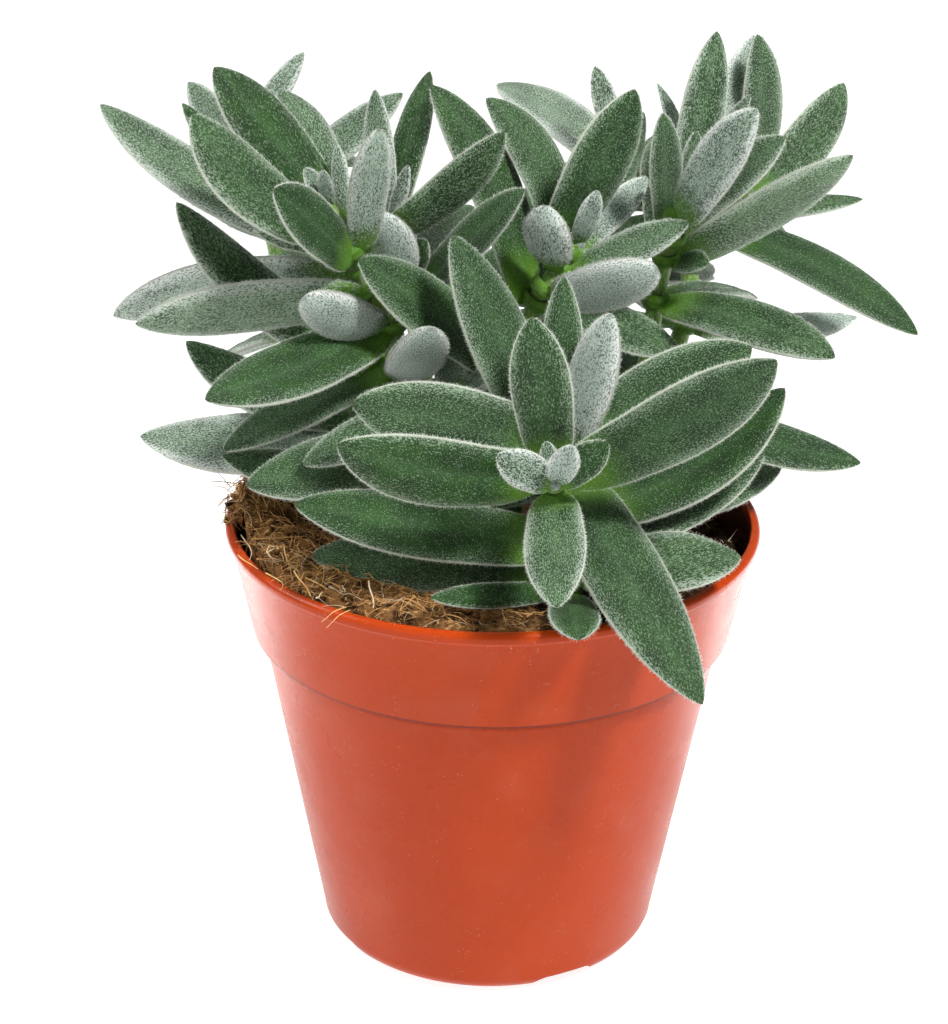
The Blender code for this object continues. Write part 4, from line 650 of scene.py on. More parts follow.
class Shell:
    """Collects closed shells of triangles with their attributes."""

    def __init__(self):
        self.v, self.f, self.lay, self.trait, self.kind, self.uv, self.count = [], [], [], [], [], [], 0

    def add(self, v, f, lay, trait, kind, uv):
        self.v.append(v)
        self.f.append(np.asarray(f) + self.count)
        self.lay.append(lay)
        self.trait.append(trait)
        self.kind.append(kind)
        self.uv.append(uv)
        self.count += len(v)

    def mesh(self, name):
        return fast_mesh(name, np.vstack(self.v), np.vstack(self.f),
                         {"lay": np.vstack(self.lay), "trait": np.vstack(self.trait), "kind": np.vstack(self.kind)},
                         np.vstack(self.uv))


def grid_tris(rows, cols, wrap=True):
    """Triangles of a grid of rows rings with cols points each."""
    i, k = np.meshgrid(np.arange(rows - 1), np.arange(cols if wrap else cols - 1), indexing="ij")
    a = i * cols + k
    b = i * cols + (k + 1) % cols
    c, d = a + cols, b + cols
    return np.concatenate([np.stack([a, b, d], -1).reshape(-1, 3), np.stack([a, d, c], -1).reshape(-1, 3)])


def tube(points, radii, sides, closed_ends=True):
    """Closed tube of triangles along points; radii per point."""
    pts = np.asarray(points, float)
    n = len(pts)
    tang = np.gradient(pts, axis=0)
    tang /= np.linalg.norm(tang, axis=1, keepdims=True) + 1e-12
    ref = unit(np.cross(tang[0], [0.31, 0.2, 0.93]))
    rings = []
    q = np.arange(sides) * 2 * math.pi / sides
    for i in range(n):
        ref = unit(ref - np.dot(ref, tang[i]) * tang[i])
        other = np.cross(tang[i], ref)
        rings.append(pts[i] + (np.cos(q)[:, None] * ref + np.sin(q)[:, None] * other) * radii[i])
    v = np.vstack(rings)
    f = list(grid_tris(n, sides))
    v = np.vstack([v, pts[0] - tang[0] * radii[0] * 0.4, pts[-1] + tang[-1] * radii[-1] * 0.4])
    for k in range(sides):
        f.append([(k + 1) % sides, k, n * sides])
        f.append([(n - 1) * sides + k, (n - 1) * sides + (k + 1) % sides, n * sides + 1])
    return v, np.array(f)


# ---------------------------------------------------------------- looks: leaves
def bones(leaf, s):
    """Midline frames of one leaf at the stations s."""
    c, t, w, n = frames(leaf["base"][None], leaf["chord"][None], leaf["n"][None],
                        np.array([leaf["arch"]], float), leaf["sway_mid"][None], leaf["sway_tip"][None], s)
    return c[0], t[0], w[0], n[0]


def leaf_stations(count):
    u = np.arange(count) / count
    return np.concatenate([[-0.05], 1 - (1 - u) ** 1.5])


def fine_leaf(leaf, along, around, seed):
    """Fine skin of a leaf: channelled upper face, full underside, pointed tip."""
    s = leaf_stations(along)
    c, t, w, n = bones(leaf, s)
    size = np.array([girth(leaf, max(0.0, x)) for x in s])
    size[:, 0] *= 1 + 0.22 * (1 - smooth(s, 0.0, 0.35))
    size[0] *= 0.8
    q = np.arange(around) * 2 * math.pi / around
    x = np.cos(q)
    up = np.sin(q) > -1e-9
    ax = np.abs(x)
    flat = np.clip(1 - ax ** 2.7, 0, 1) ** 0.62
    groove = np.exp(-(x / 0.26) ** 2)
    full = np.clip(1 - ax ** 1.9, 0, 1) ** 0.62
    depth = (0.55 if leaf["n_up"] else 0.35) * smooth(s, 0.02, 0.2) * (1 - smooth(s, 0.72, 0.98))
    wave = 1 + 0.05 * np.sin(s * 9.0 + seed * 1.7) * smooth(s, 0.1, 0.3)
    rise = np.where(up[None, :], size[:, 1:2] * wave[:, None] * (flat[None, :] - depth[:, None] * groove[None, :]),
                    -size[:, 2:3] * full[None, :])
    v = c[:, None, :] + w[:, None, :] * (size[:, 0:1] * x[None, :])[..., None] + n[:, None, :] * rise[..., None]
    tip = bones(leaf, np.array([1.0]))[0]
    rows = len(s)
    verts = np.vstack([v.reshape(-1, 3), tip, c[:1]])
    f = list(grid_tris(rows, around))
    last, cap = rows * around, rows * around + 1
    for k in range(around):
        j = (k + 1) % around
        f.append([(rows - 1) * around + k, (rows - 1) * around + j, last])
        f.append([j, k, cap])
    f = np.array(f)[:, ::-1] if leaf["flip"] else np.array(f)
    # coordinates that the finish follows
    arc = size[:, 0:1] * x[None, :] + np.zeros((rows, around))
    lay = np.stack([np.repeat(s[:, None] * leaf["span"], around, 1), np.where(up[None, :], arc, 40 - arc),
                    np.full((rows, around), seed * 3.7)], -1).reshape(-1, 3)
    trait = np.stack([np.repeat(ax[None, :], rows, 0), np.repeat(s[:, None], around, 1),
                      np.full((rows, around), leaf["young"])], -1).reshape(-1, 3)
    kind = np.stack([np.repeat(up[None, :].astype(float) if leaf["n_up"] else up[None, :].astype(float), rows, 0),
                     np.full((rows, around), leaf["tone"]), np.full((rows, around), leaf["fresh"])], -1).reshape(-1, 3)
    tail = lambda a, first, second: np.vstack([a, first, second])
    lay = tail(lay, [leaf["span"], 0.0, seed * 3.7], [0.0, 0.0, seed * 3.7])
    trait = tail(trait, [0.9, 1.0, leaf["young"]], [0.0, 0.0, leaf["young"]])
    kind = tail(kind, kind[0], kind[0])
    # strip layout for the surface maps: round the leaf by along the leaf
    uv = np.stack([np.repeat(((q / (2 * math.pi)) * around / (around + 1.0))[None, :], rows, 0),
                   np.repeat((s[:, None] + 0.05) / 1.08, around, 1)], -1).reshape(-1, 2)
    uv = np.vstack([uv, [0.5, 0.98], [0.5, 0.0]])
    grid = v
    return verts, f, lay, trait, kind, uv, dict(s=s, c=c, t=t, w=w, n=n, grid=grid, size=size, q=q, leaf=leaf)


def collar_shell(first, stem, seed):
    """The sheath where a pair is joined round the stem: a soft swollen ring."""
    axis, p = first["axis"], first["node"]
    u = unit(np.cross(axis, [0.3, 0.8, 0.5]))
    v = np.cross(axis, u)
    r_mid, major, minor = stem["r"] * 1.08 + 0.35, 28, 12
    verts, lay, trait, uv = [], [], [], []
    for i in range(major):
        a = 2 * math.pi * i / major
        rad = u * math.cos(a) + v * math.sin(a)
        for k in range(minor):
            b = 2 * math.pi * k / minor
            r = r_mid + (0.42 + 0.05 * math.sin(2 * a + seed)) * math.cos(b)
            verts.append(p + rad * r + axis * (1.15 * math.sin(b) + 0.1 * math.sin(3 * a + seed)))
            lay.append([a * 2.6, b * 1.0 + 80.0, seed * 3.7])
            trait.append([0.2, 0.04, 0.35])
            uv.append([i / (major + 1.0), k / (minor + 1.0)])
    i, k = np.meshgrid(np.arange(major), np.arange(minor), indexing="ij")
    a = i * minor + k
    b = ((i + 1) % major) * minor + k
    c = i * minor + (k + 1) % minor
    d = ((i + 1) % major) * minor + (k + 1) % minor
    f = np.concatenate([np.stack([a, b, d], -1).reshape(-1, 3), np.stack([a, d, c], -1).reshape(-1, 3)])
    kind = np.repeat([[1.0, first["tone"], 0.5]], len(verts), 0)
    return np.array(verts), f, np.array(lay), np.array(trait), kind, np.array(uv)


def core_shell(first, seed):
    """Rounded heart of a bud."""
    axis, p = first["axis"], first["node"]
    u = unit(np.cross(axis, [0.3, 0.8, 0.5]))
    v = np.cross(axis, u)
    rows, sides = 9, 14
    verts, lay, trait, uv = [], [], [], []
    for i in range(rows):
        a = math.pi * (i + 0.5) / rows
        h, r = -1.0 * math.cos(a) * 1.2 - 0.1, math.sin(a) * 0.9
        for k in range(sides):
            q = 2 * math.pi * k / sides
            verts.append(p + axis * h + (u * math.cos(q) + v * math.sin(q)) * r)
            lay.append([h, q * 1.6 + 90.0, seed * 3.7])
            trait.append([0.3, 0.40, 0.9])
            uv.append([k / (sides + 1.0), (i + 1.0) / (rows + 2)])
    f = list(grid_tris(rows, sides))
    verts += [p + axis * (-0.1 - 1.25), p + axis * (-0.1 + 1.25)]
    lay += [[-1, 90, seed * 3.7], [2, 90, seed * 3.7]]
    trait += [[0.3, 0.05, 0.6], [0.3, 0.2, 0.6]]
    uv += [[0.5, 0.0], [0.5, 1.0]]
    for k in range(sides):
        j = (k + 1) % sides
        f.append([j, k, rows * sides])
        f.append([(rows - 1) * sides + k, (rows - 1) * sides + j, rows * sides + 1])
    kind = np.repeat([[1.0, first["tone"], 0.5]], len(verts), 0)
    return np.array(verts), np.array(f), np.array(lay), np.array(trait), kind, np.array(uv)


def outward(verts, f):
    """Turns the triangles of a closed shell so that they face out."""
    a, b, c = verts[f[:, 0]], verts[f[:, 1]], verts[f[:, 2]]
    volume = np.einsum("ij,ij->i", a, np.cross(b, c)).sum()
    return f if volume > 0 else f[:, ::-1]


SILVER = {"middle_leaves_c.0", "middle_leaves_d.0", "left_leaves_c.1", "left_leaves_b.1", "front_leaves_g.0",
          "left_inner_leaves_b.0", "front_bud.3", "middle_bud.2", "middle_bud.1", "back_right_leaves_a.0", "left_bud.3"}
# how closely the hairs of single leaves stand, where it differs from the usual; partly painted light too:
# left_leaves_b.0, which sits in shade, gets more pale haze to lift it
HAIR_AND_LIFT_LEVELS = {
    0.78: "middle_bud.3 left_inner_bud.3 right_bud.1",
    0.70: "left_leaves_a.0 right_leaves_e.0 left_leaves_e.0",
    0.64: "front_bud.0 left_leaves_f.1 back_left_bud.0 right_bud.2 left_leaves_h.1 left_bud.2 back_middle_leaves_b.0 back_left_bud.1 "
          "back_middle_bud.0 back_left_leaves_a.0 low_left_tip.2 low_left_tip.0",
    0.52: "left_inner_bud.2 front_bud.2 left_leaves_g.0 left_leaves_d.0 middle_leaves_d.1 left_bud.1 right_leaves_b.2 back_left_leaves_b.0 "
          "middle_leaves_e.2",
    0.42: "left_leaves_b.0 front_leaves_i.1 front_leaves_b.1 right_leaves_c.0 right_bud.0 right_leaves_e.1 left_inner_leaves_a.2",
    0.32: "front_leaves_f.0 right_leaves_b.0 left_leaves_h.0 middle_leaves_e.1 middle_leaves_b.1",
    0.08: "left_inner_bud.0 left_inner_bud.1 front_bud.1 front_leaves_c.0 front_leaves_d.0 front_leaves_h.0 "
          "back_right_leaves_c.1 left_bud.0 front_leaves_a.1 left_leaves_f.0 left_leaves_c.0 right_leaves_a.0",
}
HAIR_AND_LIFT = {name: value for value, names in HAIR_AND_LIFT_LEVELS.items() for name in names.split()}


def dress(leaves):
    """Traits of each leaf that only the finish needs."""
    for k, lf in enumerate(leaves):
        lf["span"] = float(np.linalg.norm(lf["chord"]))
        lf["tone"] = float(RNG.random())
        lf["flip"] = False
        lf["n_up"] = True
        bud = lf["last"]
        short = lf["width"] < 6.8
        lf["young"] = 0.40 if bud else 0.22
        if short:
            lf["young"] += 0.12
        if lf["name"] in HAIR_AND_LIFT:
            lf["young"] = HAIR_AND_LIFT[lf["name"]]
        if lf["name"] in SILVER:
            lf["young"] = 0.95
        lf["young"] = float(np.clip(lf["young"] + 0.08 * (lf["tone"] - 0.5), 0, 1))
        lf["fresh"] = 0.7 if bud else 0.35
        if lf["name"] == "front_bud.3":
            lf["base"] = lf["base"] - unit(lf["chord"]) * 1.0
            lf["chord"] = lf["chord"] * 1.25
            lf["width"] = lf["width"] * 0.95
    return leaves


# ---------------------------------------------------------------- looks: hairs
EYES = [np.array([0.95, -0.1, 0.3]), np.array([-0.95, -0.1, 0.3]), np.array([0.1, 0.95, 0.3]),
        np.array([0.0, 0.1, 1.0]), np.array([0.65, 0.65, 0.4]), np.array([-0.65, 0.65, 0.4])]


def exposure(tree, pts, nrm):
    """0 hidden, 1 open to some side, 2 open to the front at the plant's best side."""
    out = np.zeros(len(pts), np.int8)
    eye = EYE
    for i in range(len(pts)):
        p, nn = pts[i], nrm[i]
        o = p + nn * 0.25
        d = eye - o
        dist = math.sqrt(d[0] * d[0] + d[1] * d[1] + d[2] * d[2])
        d = d / dist
        facing_it = d[0] * nn[0] + d[1] * nn[1] + d[2] * nn[2]
        if facing_it > -0.05 and tree.ray_cast(Vector(o), Vector(d), 200.0)[0] is None:
            out[i] = 2
            continue
        for e in EYES:
            if e[0] * nn[0] + e[1] * nn[1] + e[2] * nn[2] > 0.1 and tree.ray_cast(Vector(o), Vector(e), 200.0)[0] is None:
                out[i] = 1
                break
    return out


def hair_mesh(roots, dirs, lengths, radii):
    """Closed four-sided spikes."""
    n = len(roots)
    d = dirs / np.linalg.norm(dirs, axis=1, keepdims=True)
    ref = np.where(np.abs(d[:, 2:3]) < 0.9, np.array([[0, 0, 1.0]]), np.array([[1.0, 0, 0]]))
    e1 = np.cross(d, ref)
    e1 /= np.linalg.norm(e1, axis=1, keepdims=True)
    e2 = np.cross(d, e1)
    v = np.empty((n, 4, 3))
    for k in range(3):
        a = 2 * math.pi * k / 3
        v[:, k] = roots + (e1 * math.cos(a) + e2 * math.sin(a)) * radii[:, None]
    v[:, 3] = roots + d * lengths[:, None]
    base = np.arange(n)[:, None, None] * 4
    f = base + np.array([[0, 1, 3], [1, 2, 3], [2, 0, 3], [2, 1, 0]])[None]
    return v.reshape(-1, 3), f.reshape(-1, 3)


def sow(skins, tree, front_density, back_density, edge_front, edge_back):
    """Hairs over the exposed skin and in a dense row along the margins."""
    found = {}
    for g in skins:
        grid, leaf = g["grid"], g["leaf"]
        rows, cols = grid.shape[:2]
        a, b = grid[:-1], np.roll(grid, -1, axis=1)[:-1]
        c, d = grid[1:], np.roll(grid, -1, axis=1)[1:]
        nrm = np.cross(b - a, c - a) + np.cross(d - c, d - b)
        area = np.linalg.norm(nrm, axis=2) * 0.5
        nrm /= np.linalg.norm(nrm, axis=2, keepdims=True) + 1e-12
        mid = (a + b + c + d) / 4
        if float(((mid - g["c"][:-1, None, :]) * nrm).sum()) < 0:
            nrm = -nrm
        seen = exposure(tree, mid.reshape(-1, 3), nrm.reshape(-1, 3)).reshape(rows - 1, cols)
        up = (np.sin(g["q"] + math.pi / cols) > 0)[None, :]
        fuzz = np.where(up, 0.75 + 0.6 * leaf["young"], 1.15 + 0.5 * leaf["young"])
        dens = np.select([seen == 2, seen == 1], [front_density, back_density], 0.0) * fuzz
        dens[0] = 0
        want = dens * area
        num = np.floor(want + RNG.random(want.shape)).astype(int)
        ii, kk = np.nonzero(num)
        ii, kk = np.repeat(ii, num[ii, kk]), np.repeat(kk, num[ii, kk])
        m = len(ii)
        fu, fv = RNG.random((2, m, 1))
        root = (a[ii, kk] * (1 - fu) + b[ii, kk] * fu) * (1 - fv) + (c[ii, kk] * (1 - fu) + d[ii, kk] * fu) * fv
        nn = nrm[ii, kk]
        t, w = g["t"][ii], g["w"][ii]
        x = np.cos(g["q"][kk] + math.pi / cols)[:, None]
        r1, r2, r3 = RNG.normal(size=(3, m, 1))
        dirs = nn * 0.62 + t * (0.75 + 0.25 * r1) + w * (0.35 * x + 0.35 * r2) + nn * 0.1 * r3
        is_up = up[0][kk]
        length = np.where(is_up, 0.30, 0.52) * RNG.uniform(0.65, 1.25, m)
        length *= np.clip(leaf["width"] / 7.0, 0.6, 1.0)
        rad = np.where(is_up, 0.8, 1.0) * RNG.uniform(0.022, 0.036, m)
        parts = [(root - nn * 0.03, dirs, length, rad)]
        # margins: a dense ciliate row
        for side, col in ((1.0, 0), (-1.0, cols // 2)):
            e0, e1 = grid[:-1, col], grid[1:, col]
            out = g["w"] * side
            span = np.linalg.norm(e1 - e0, axis=1)
            open_edge = exposure(tree, (e0 + e1) / 2 + out[:-1] * 0.05, out[:-1])
            front = exposure_front(tree, (e0 + e1) / 2 + out[:-1] * 0.3)
            dens = np.where(front, edge_front, np.where(open_edge > 0, edge_back, 0.0))
            num = np.floor(dens * span + RNG.random(len(span))).astype(int)
            num[0] = 0
            j = np.repeat(np.arange(len(span)), num)
            m = len(j)
            if not m:
                continue
            f = RNG.random((m, 1))
            root = e0[j] * (1 - f) + e1[j] * f
            nn, t, o = g["n"][j], g["t"][j], out[j]
            lift = RNG.uniform(-0.9, 1.3, (m, 1))
            spread = RNG.normal(size=(m, 1))
            inset = RNG.uniform(0.0, 0.10, (m, 1)) * np.clip(lift, 0, 1)
            root = root - o * (0.04 + inset) + nn * np.clip(lift, -0.5, 0.8) * 0.10
            dirs = o * 1.0 + nn * lift * 0.75 + t * (0.55 + 0.35 * spread)
            length = RNG.uniform(0.24, 0.56, m) * np.clip(leaf["width"] / 7.0, 0.6, 1.0)
            parts.append((root, dirs, length, RNG.uniform(0.024, 0.040, m)))
        found.setdefault(leaf["stem"], []).extend(parts)
    return found


def exposure_front(tree, pts):
    out = np.zeros(len(pts), bool)
    for i, p in enumerate(pts):
        d = EYE - p
        out[i] = tree.ray_cast(Vector(p), Vector(d / np.linalg.norm(d)), 200.0)[0] is None
    return out


# ---------------------------------------------------------------- looks: finishes
class Finish:
    """Small helper to lay out a node material."""

    def __init__(self, name):
        self.mat = bpy.data.materials.new(name)
        self.mat.use_nodes = True
        self.nt = self.mat.node_tree
        self.out = self.nt.nodes["Principled BSDF"]

    def node(self, kind, **props):
        n = self.nt.nodes.new(kind)
        for k, v in props.items():
            setattr(n, k, v)
        return n

    def put(self, socket, value):
        if isinstance(value, bpy.types.NodeSocket):
            self.nt.links.new(value, socket)
        else:
            socket.default_value = value

    def math(self, op, a, b=None, c=None, clamp=False):
        n = self.node("ShaderNodeMath", operation=op, use_clamp=clamp)
        for i, v in enumerate((a, b, c)):
            if v is not None:
                self.put(n.inputs[i], v)
        return n.outputs[0]

    def step(self, value, low, high, a=0.0, b=1.0):
        n = self.node("ShaderNodeMapRange", interpolation_type="SMOOTHSTEP")
        self.put(n.inputs[0], value)
        for i, v in enumerate((low, high, a, b)):
            n.inputs[i + 1].default_value = v
        return n.outputs[0]

    def mix(self, fac, a, b):
        n = self.node("ShaderNodeMix", data_type="RGBA")
        self.put(n.inputs[0], fac)
        self.put(n.inputs[6], (*a, 1.0) if isinstance(a, tuple) else a)
        self.put(n.inputs[7], (*b, 1.0) if isinstance(b, tuple) else b)
        return n.outputs[2]

    def attribute(self, name):
        return self.node("ShaderNodeAttribute", attribute_name=name).outputs["Vector"]

    def split(self, vector):
        n = self.node("ShaderNodeSeparateXYZ")
        self.put(n.inputs[0], vector)
        return n.outputs

    def stretch(self, vector, scale):
        n = self.node("ShaderNodeVectorMath", operation="MULTIPLY")
        self.put(n.inputs[0], vector)
        n.inputs[1].default_value = scale
        return n.outputs[0]

    def noise(self, vector, scale, detail=2.0, rough=0.5, distortion=0.0):
        n = self.node("ShaderNodeTexNoise")
        self.put(n.inputs["Vector"], vector)
        n.inputs["Scale"].default_value = scale
        n.inputs["Detail"].default_value = detail
        n.inputs["Roughness"].default_value = rough
        n.inputs["Distortion"].default_value = distortion
        return n.outputs[0]

    def voronoi(self, vector, scale, feature="F1"):
        n = self.node("ShaderNodeTexVoronoi", feature=feature)
        self.put(n.inputs["Vector"], vector)
        n.inputs["Scale"].default_value = scale
        return n.outputs

    def bump(self, height, strength, distance):
        n = self.node("ShaderNodeBump")
        n.inputs["Strength"].default_value = strength
        n.inputs["Distance"].default_value = distance
        self.put(n.inputs["Height"], height)
        self.nt.links.new(n.outputs[0], self.out.inputs["Normal"])

    def set(self, **values):
        for k, v in values.items():
            self.put(self.out.inputs[k.replace("_", " ")], v)

    def place(self):
        return self.node("ShaderNodeTexCoord").outputs["Object"]


def leaf_finish():
    f = Finish("leaf_velvet")
    lay = f.attribute("lay")
    edge, along, hair_and_lift_level = f.split(f.attribute("trait"))[:3]
    upper, tone, fresh = f.split(f.attribute("kind"))[:3]
    streak = f.noise(f.stretch(lay, (2.6, 5.6, 1.0)), 1.0, 2.0, 0.6)
    grain = f.noise(f.stretch(lay, (5.5, 7.5, 1.0)), 1.0, 1.0, 0.5)
    blotch = f.noise(f.stretch(lay, (0.16, 0.30, 1.0)), 1.0, 2.0, 0.5)
    green = f.mix(f.step(blotch, 0.32, 0.68), (0.006, 0.034, 0.002), (0.016, 0.072, 0.004))
    green = f.mix(f.math("MULTIPLY", tone, 0.45), green, (0.008, 0.042, 0.009))
    # yellow-green towards the base
    root = f.step(along, 0.01, 0.26, 1.0, 0.0)
    green = f.mix(f.math("MULTIPLY", root, 0.90), green, (0.13, 0.32, 0.008))
    # pale haze of hairs: more on the underside and on young leaves; the per-leaf level also carries painted light where
    # a leaf in shade is lifted
    under = f.math("SUBTRACT", 1.0, upper)
    level = f.math("ADD", f.math("MULTIPLY", hair_and_lift_level, 0.98), f.math("MULTIPLY", under, 0.26), clamp=True)
    level = f.math("ADD", level, f.step(edge, 0.58, 0.97, 0.0, 0.42))
    level = f.math("MULTIPLY", level, f.step(blotch, 0.25, 0.75, 0.80, 1.20))
    level = f.math("MULTIPLY", level, f.step(along, 0.04, 0.30, 0.25, 1.0), clamp=True)
    near = f.math("ADD", f.math("MULTIPLY", streak, 0.60), f.math("MULTIPLY", grain, 0.40))
    speck = f.step(f.math("ADD", near, f.math("MULTIPLY", level, 0.145)), 0.545, 0.650)
    haze = f.math("ADD", f.math("MULTIPLY", speck, 0.84), f.math("MULTIPLY", f.math("MULTIPLY", level, level), 0.24), clamp=True)
    pale = f.mix(f.step(hair_and_lift_level, 0.30, 0.90), (0.24, 0.36, 0.21), (0.59, 0.69, 0.62))
    pale = f.mix(f.math("MULTIPLY", f.step(edge, 0.50, 0.98), f.step(hair_and_lift_level, 0.20, 0.95, 0.15, 1.0)), pale, (0.90, 0.93, 0.90))
    pale = f.mix(f.step(streak, 0.35, 0.65, 0.35, 0.0), pale, (0.16, 0.22, 0.16))
    colour = f.mix(haze, green, pale)
    # painted highlight: a soft paler band along the channel of the upper face
    channel_highlight = f.math("MULTIPLY", f.step(edge, 0.0, 0.30, 0.20, 0.0), upper)
    colour = f.mix(channel_highlight, colour, (0.10, 0.22, 0.08))
    # white felted margin
    rim = f.step(f.math("ADD", edge, f.math("MULTIPLY", f.math("SUBTRACT", grain, 0.5), 0.05)), 0.925, 0.985)
    rim = f.math("MULTIPLY", rim, f.step(along, 0.03, 0.16))
    colour = f.mix(f.math("MULTIPLY", rim, 0.75), colour, (0.74, 0.77, 0.66))
    # darker very tip
    colour = f.mix(f.step(along, 0.975, 1.0, 0.0, 0.35), colour, (0.10, 0.09, 0.06))
    f.set(Base_Color=colour, Roughness=f.step(speck, 0.0, 1.0, 0.36, 0.60))
    f.out.inputs["Sheen Weight"].default_value = 0.06
    f.out.inputs["Sheen Roughness"].default_value = 0.30
    f.out.inputs["Sheen Tint"].default_value = (0.86, 0.95, 0.84, 1.0)
    f.out.inputs["Specular IOR Level"].default_value = 0.30
    f.bump(f.math("ADD", f.math("MULTIPLY", streak, 0.9), f.math("MULTIPLY", grain, 0.5)), 0.90, 0.00025)
    return f.mat


def hair_finish():
    f = Finish("hair_white")
    f.set(Base_Color=(0.80, 0.82, 0.75, 1.0), Roughness=f.step(f.noise(f.place(), 900.0), 0.3, 0.7, 0.42, 0.62))
    f.out.inputs["Specular IOR Level"].default_value = 0.4
    f.out.inputs["Sheen Weight"].default_value = 0.2
    return f.mat


def stem_finish():
    f = Finish("stem_velvet")
    p = f.place()
    fine = f.noise(f.stretch(p, (1.0, 1.0, 0.35)), 2600.0, 2.0, 0.6)
    tone = f.noise(p, 160.0, 2.0)
    colour = f.mix(f.step(tone, 0.35, 0.65), (0.085, 0.20, 0.012), (0.16, 0.30, 0.020))
    colour = f.mix(f.step(fine, 0.48, 0.66, 0.0, 0.45), colour, (0.45, 0.55, 0.36))
    f.set(Base_Color=colour, Roughness=0.55)
    f.out.inputs["Sheen Weight"].default_value = 0.3
    f.bump(fine, 0.4, 0.00008)
    return f.mat


def pot_finish():
    f = Finish("pot_terracotta_plastic")
    p = f.place()
    x, y, z = f.split(p)[:3]
    wide = f.noise(p, 28.0, 3.0, 0.55)
    fine = f.noise(p, 900.0, 3.0, 0.6)
    colour = f.mix(f.step(wide, 0.30, 0.70), (0.470, 0.044, 0.003), (0.510, 0.051, 0.004))
    colour = f.mix(f.step(fine, 0.35, 0.75, 0.0, 0.22), colour, (0.54, 0.072, 0.010))
    # fine pale dust: small specks in scattered patches
    spots = f.voronoi(p, 1500.0)
    keep = f.step(f.noise(p, 300.0, 1.0), 0.55, 0.66)
    dust = f.math("MULTIPLY", f.step(spots[0], 0.07, 0.15, 1.0, 0.0), keep)
    film = f.math("MULTIPLY", f.step(f.noise(p, 70.0, 4.0, 0.6), 0.50, 0.80), 0.05)
    colour = f.mix(film, colour, (0.80, 0.46, 0.34))
    colour = f.mix(f.math("MULTIPLY", dust, 0.60), colour, (0.86, 0.66, 0.56))
    # painted shade, with some dirt, held in the groove under the collar
    crease = (POT_H - COLLAR_H) * MM
    near = f.math("ABSOLUTE", f.math("SUBTRACT", z, crease - 0.0001))
    colour = f.mix(f.step(near, 0.00018, 0.00055, 0.80, 0.0), colour, (0.11, 0.010, 0.004))
    # painted shade on the inside of the collar: the inner wall goes near black from just below the rim down towards the
    # collar's lower edge
    r = f.math("SQRT", f.math("ADD", f.math("MULTIPLY", x, x), f.math("MULTIPLY", y, y)))
    wall = f.math("ADD", f.math("MULTIPLY", z, (RIM_R - LIP_OUT - COLLAR_R) / COLLAR_H),
                  (COLLAR_R - 0.5 - (RIM_R - LIP_OUT - COLLAR_R) / COLLAR_H * (POT_H - COLLAR_H)) * MM)
    inside = f.step(f.math("SUBTRACT", r, wall), -0.00015, 0.00015, 1.0, 0.0)
    low = f.step(f.math("ADD", z, f.math("MULTIPLY", wide, 0.0012)), (POT_H - 1.6) * MM, (POT_H - 0.4) * MM, 1.0, 0.0)
    low = f.math("MULTIPLY", low, f.step(z, (POT_H - COLLAR_H + 3.0) * MM, (POT_H - COLLAR_H + 4.0) * MM))
    colour = f.mix(f.math("MULTIPLY", f.math("MULTIPLY", inside, low), 0.93), colour, (0.030, 0.007, 0.003))
    f.set(Base_Color=colour, Roughness=f.step(f.noise(p, 120.0, 3.0), 0.3, 0.7, 0.24, 0.32))
    f.out.inputs["Specular IOR Level"].default_value = 0.20
    f.bump(f.math("ADD", f.math("MULTIPLY", fine, 0.25), f.math("MULTIPLY", wide, 1.0)), 0.10, 0.0002)
    return f.mat


def soil_finish():
    f = Finish("coir_peat")
    p = f.place()
    a = f.noise(p, 420.0, 4.0, 0.65)
    b = f.noise(f.stretch(p, (1.0, 3.0, 1.0)), 900.0, 3.0, 0.6, 0.6)
    c = f.noise(f.stretch(p, (3.0, 1.0, 1.0)), 700.0, 3.0, 0.6, 0.6)
    colour = f.mix(f.step(a, 0.36, 0.62), (0.034, 0.015, 0.006), (0.330, 0.160, 0.055))
    colour = f.mix(f.step(b, 0.56, 0.66, 0.0, 0.85), colour, (0.74, 0.43, 0.16))
    colour = f.mix(f.step(c, 0.60, 0.68, 0.0, 0.7), colour, (0.26, 0.12, 0.045))
    x = f.split(p)[0]
    y = f.split(p)[1]
    deep = f.math("SQRT", f.math("ADD", f.math("MULTIPLY", x, x), f.math("MULTIPLY", y, y)))
    shade = f.math("MAXIMUM", f.step(x, -0.006, 0.018, 0.0, 0.88), f.step(deep, 0.021, 0.027, 0.90, 0.0))
    colour = f.mix(shade, colour, (0.012, 0.005, 0.002))
    f.set(Base_Color=colour, Roughness=0.92)
    f.out.inputs["Specular IOR Level"].default_value = 0.15
    f.bump(f.math("ADD", a, f.math("MULTIPLY", b, 0.6)), 0.9, 0.0006)
    return f.mat


def fibre_finish(name, colour, rough=0.7):
    f = Finish(name)
    f.set(Base_Color=(*colour, 1.0), Roughness=f.step(f.noise(f.place(), 700.0, 2.0), 0.3, 0.7, rough - 0.12, rough + 0.12))
    f.out.inputs["Specular IOR Level"].default_value = 0.25
    f.bump(f.noise(f.place(), 5000.0, 2.0), 0.3, 0.00005)
    return f.mat


# ---------------------------------------------------------------- looks: pot and substrate
def rounded(profile, radius, parts=3):
    """Profile with each inner corner replaced by a short arc."""
    pts = [np.array(p, float) for p in profile]
    out = [pts[0]]
    for a, b, c in zip(pts, pts[1:], pts[2:]):
        u, v = a - b, c - b
        lu, lv = np.linalg.norm(u), np.linalg.norm(v)
        r = min(radius, 0.4 * lu, 0.4 * lv)
        p, q = b + u / lu * r, b + v / lv * r
        for k in range(parts + 1):
            t = k / parts
            out.append(p * (1 - t) ** 2 + b * 2 * t * (1 - t) + q * t * t)
    out.append(pts[-1])
    return out


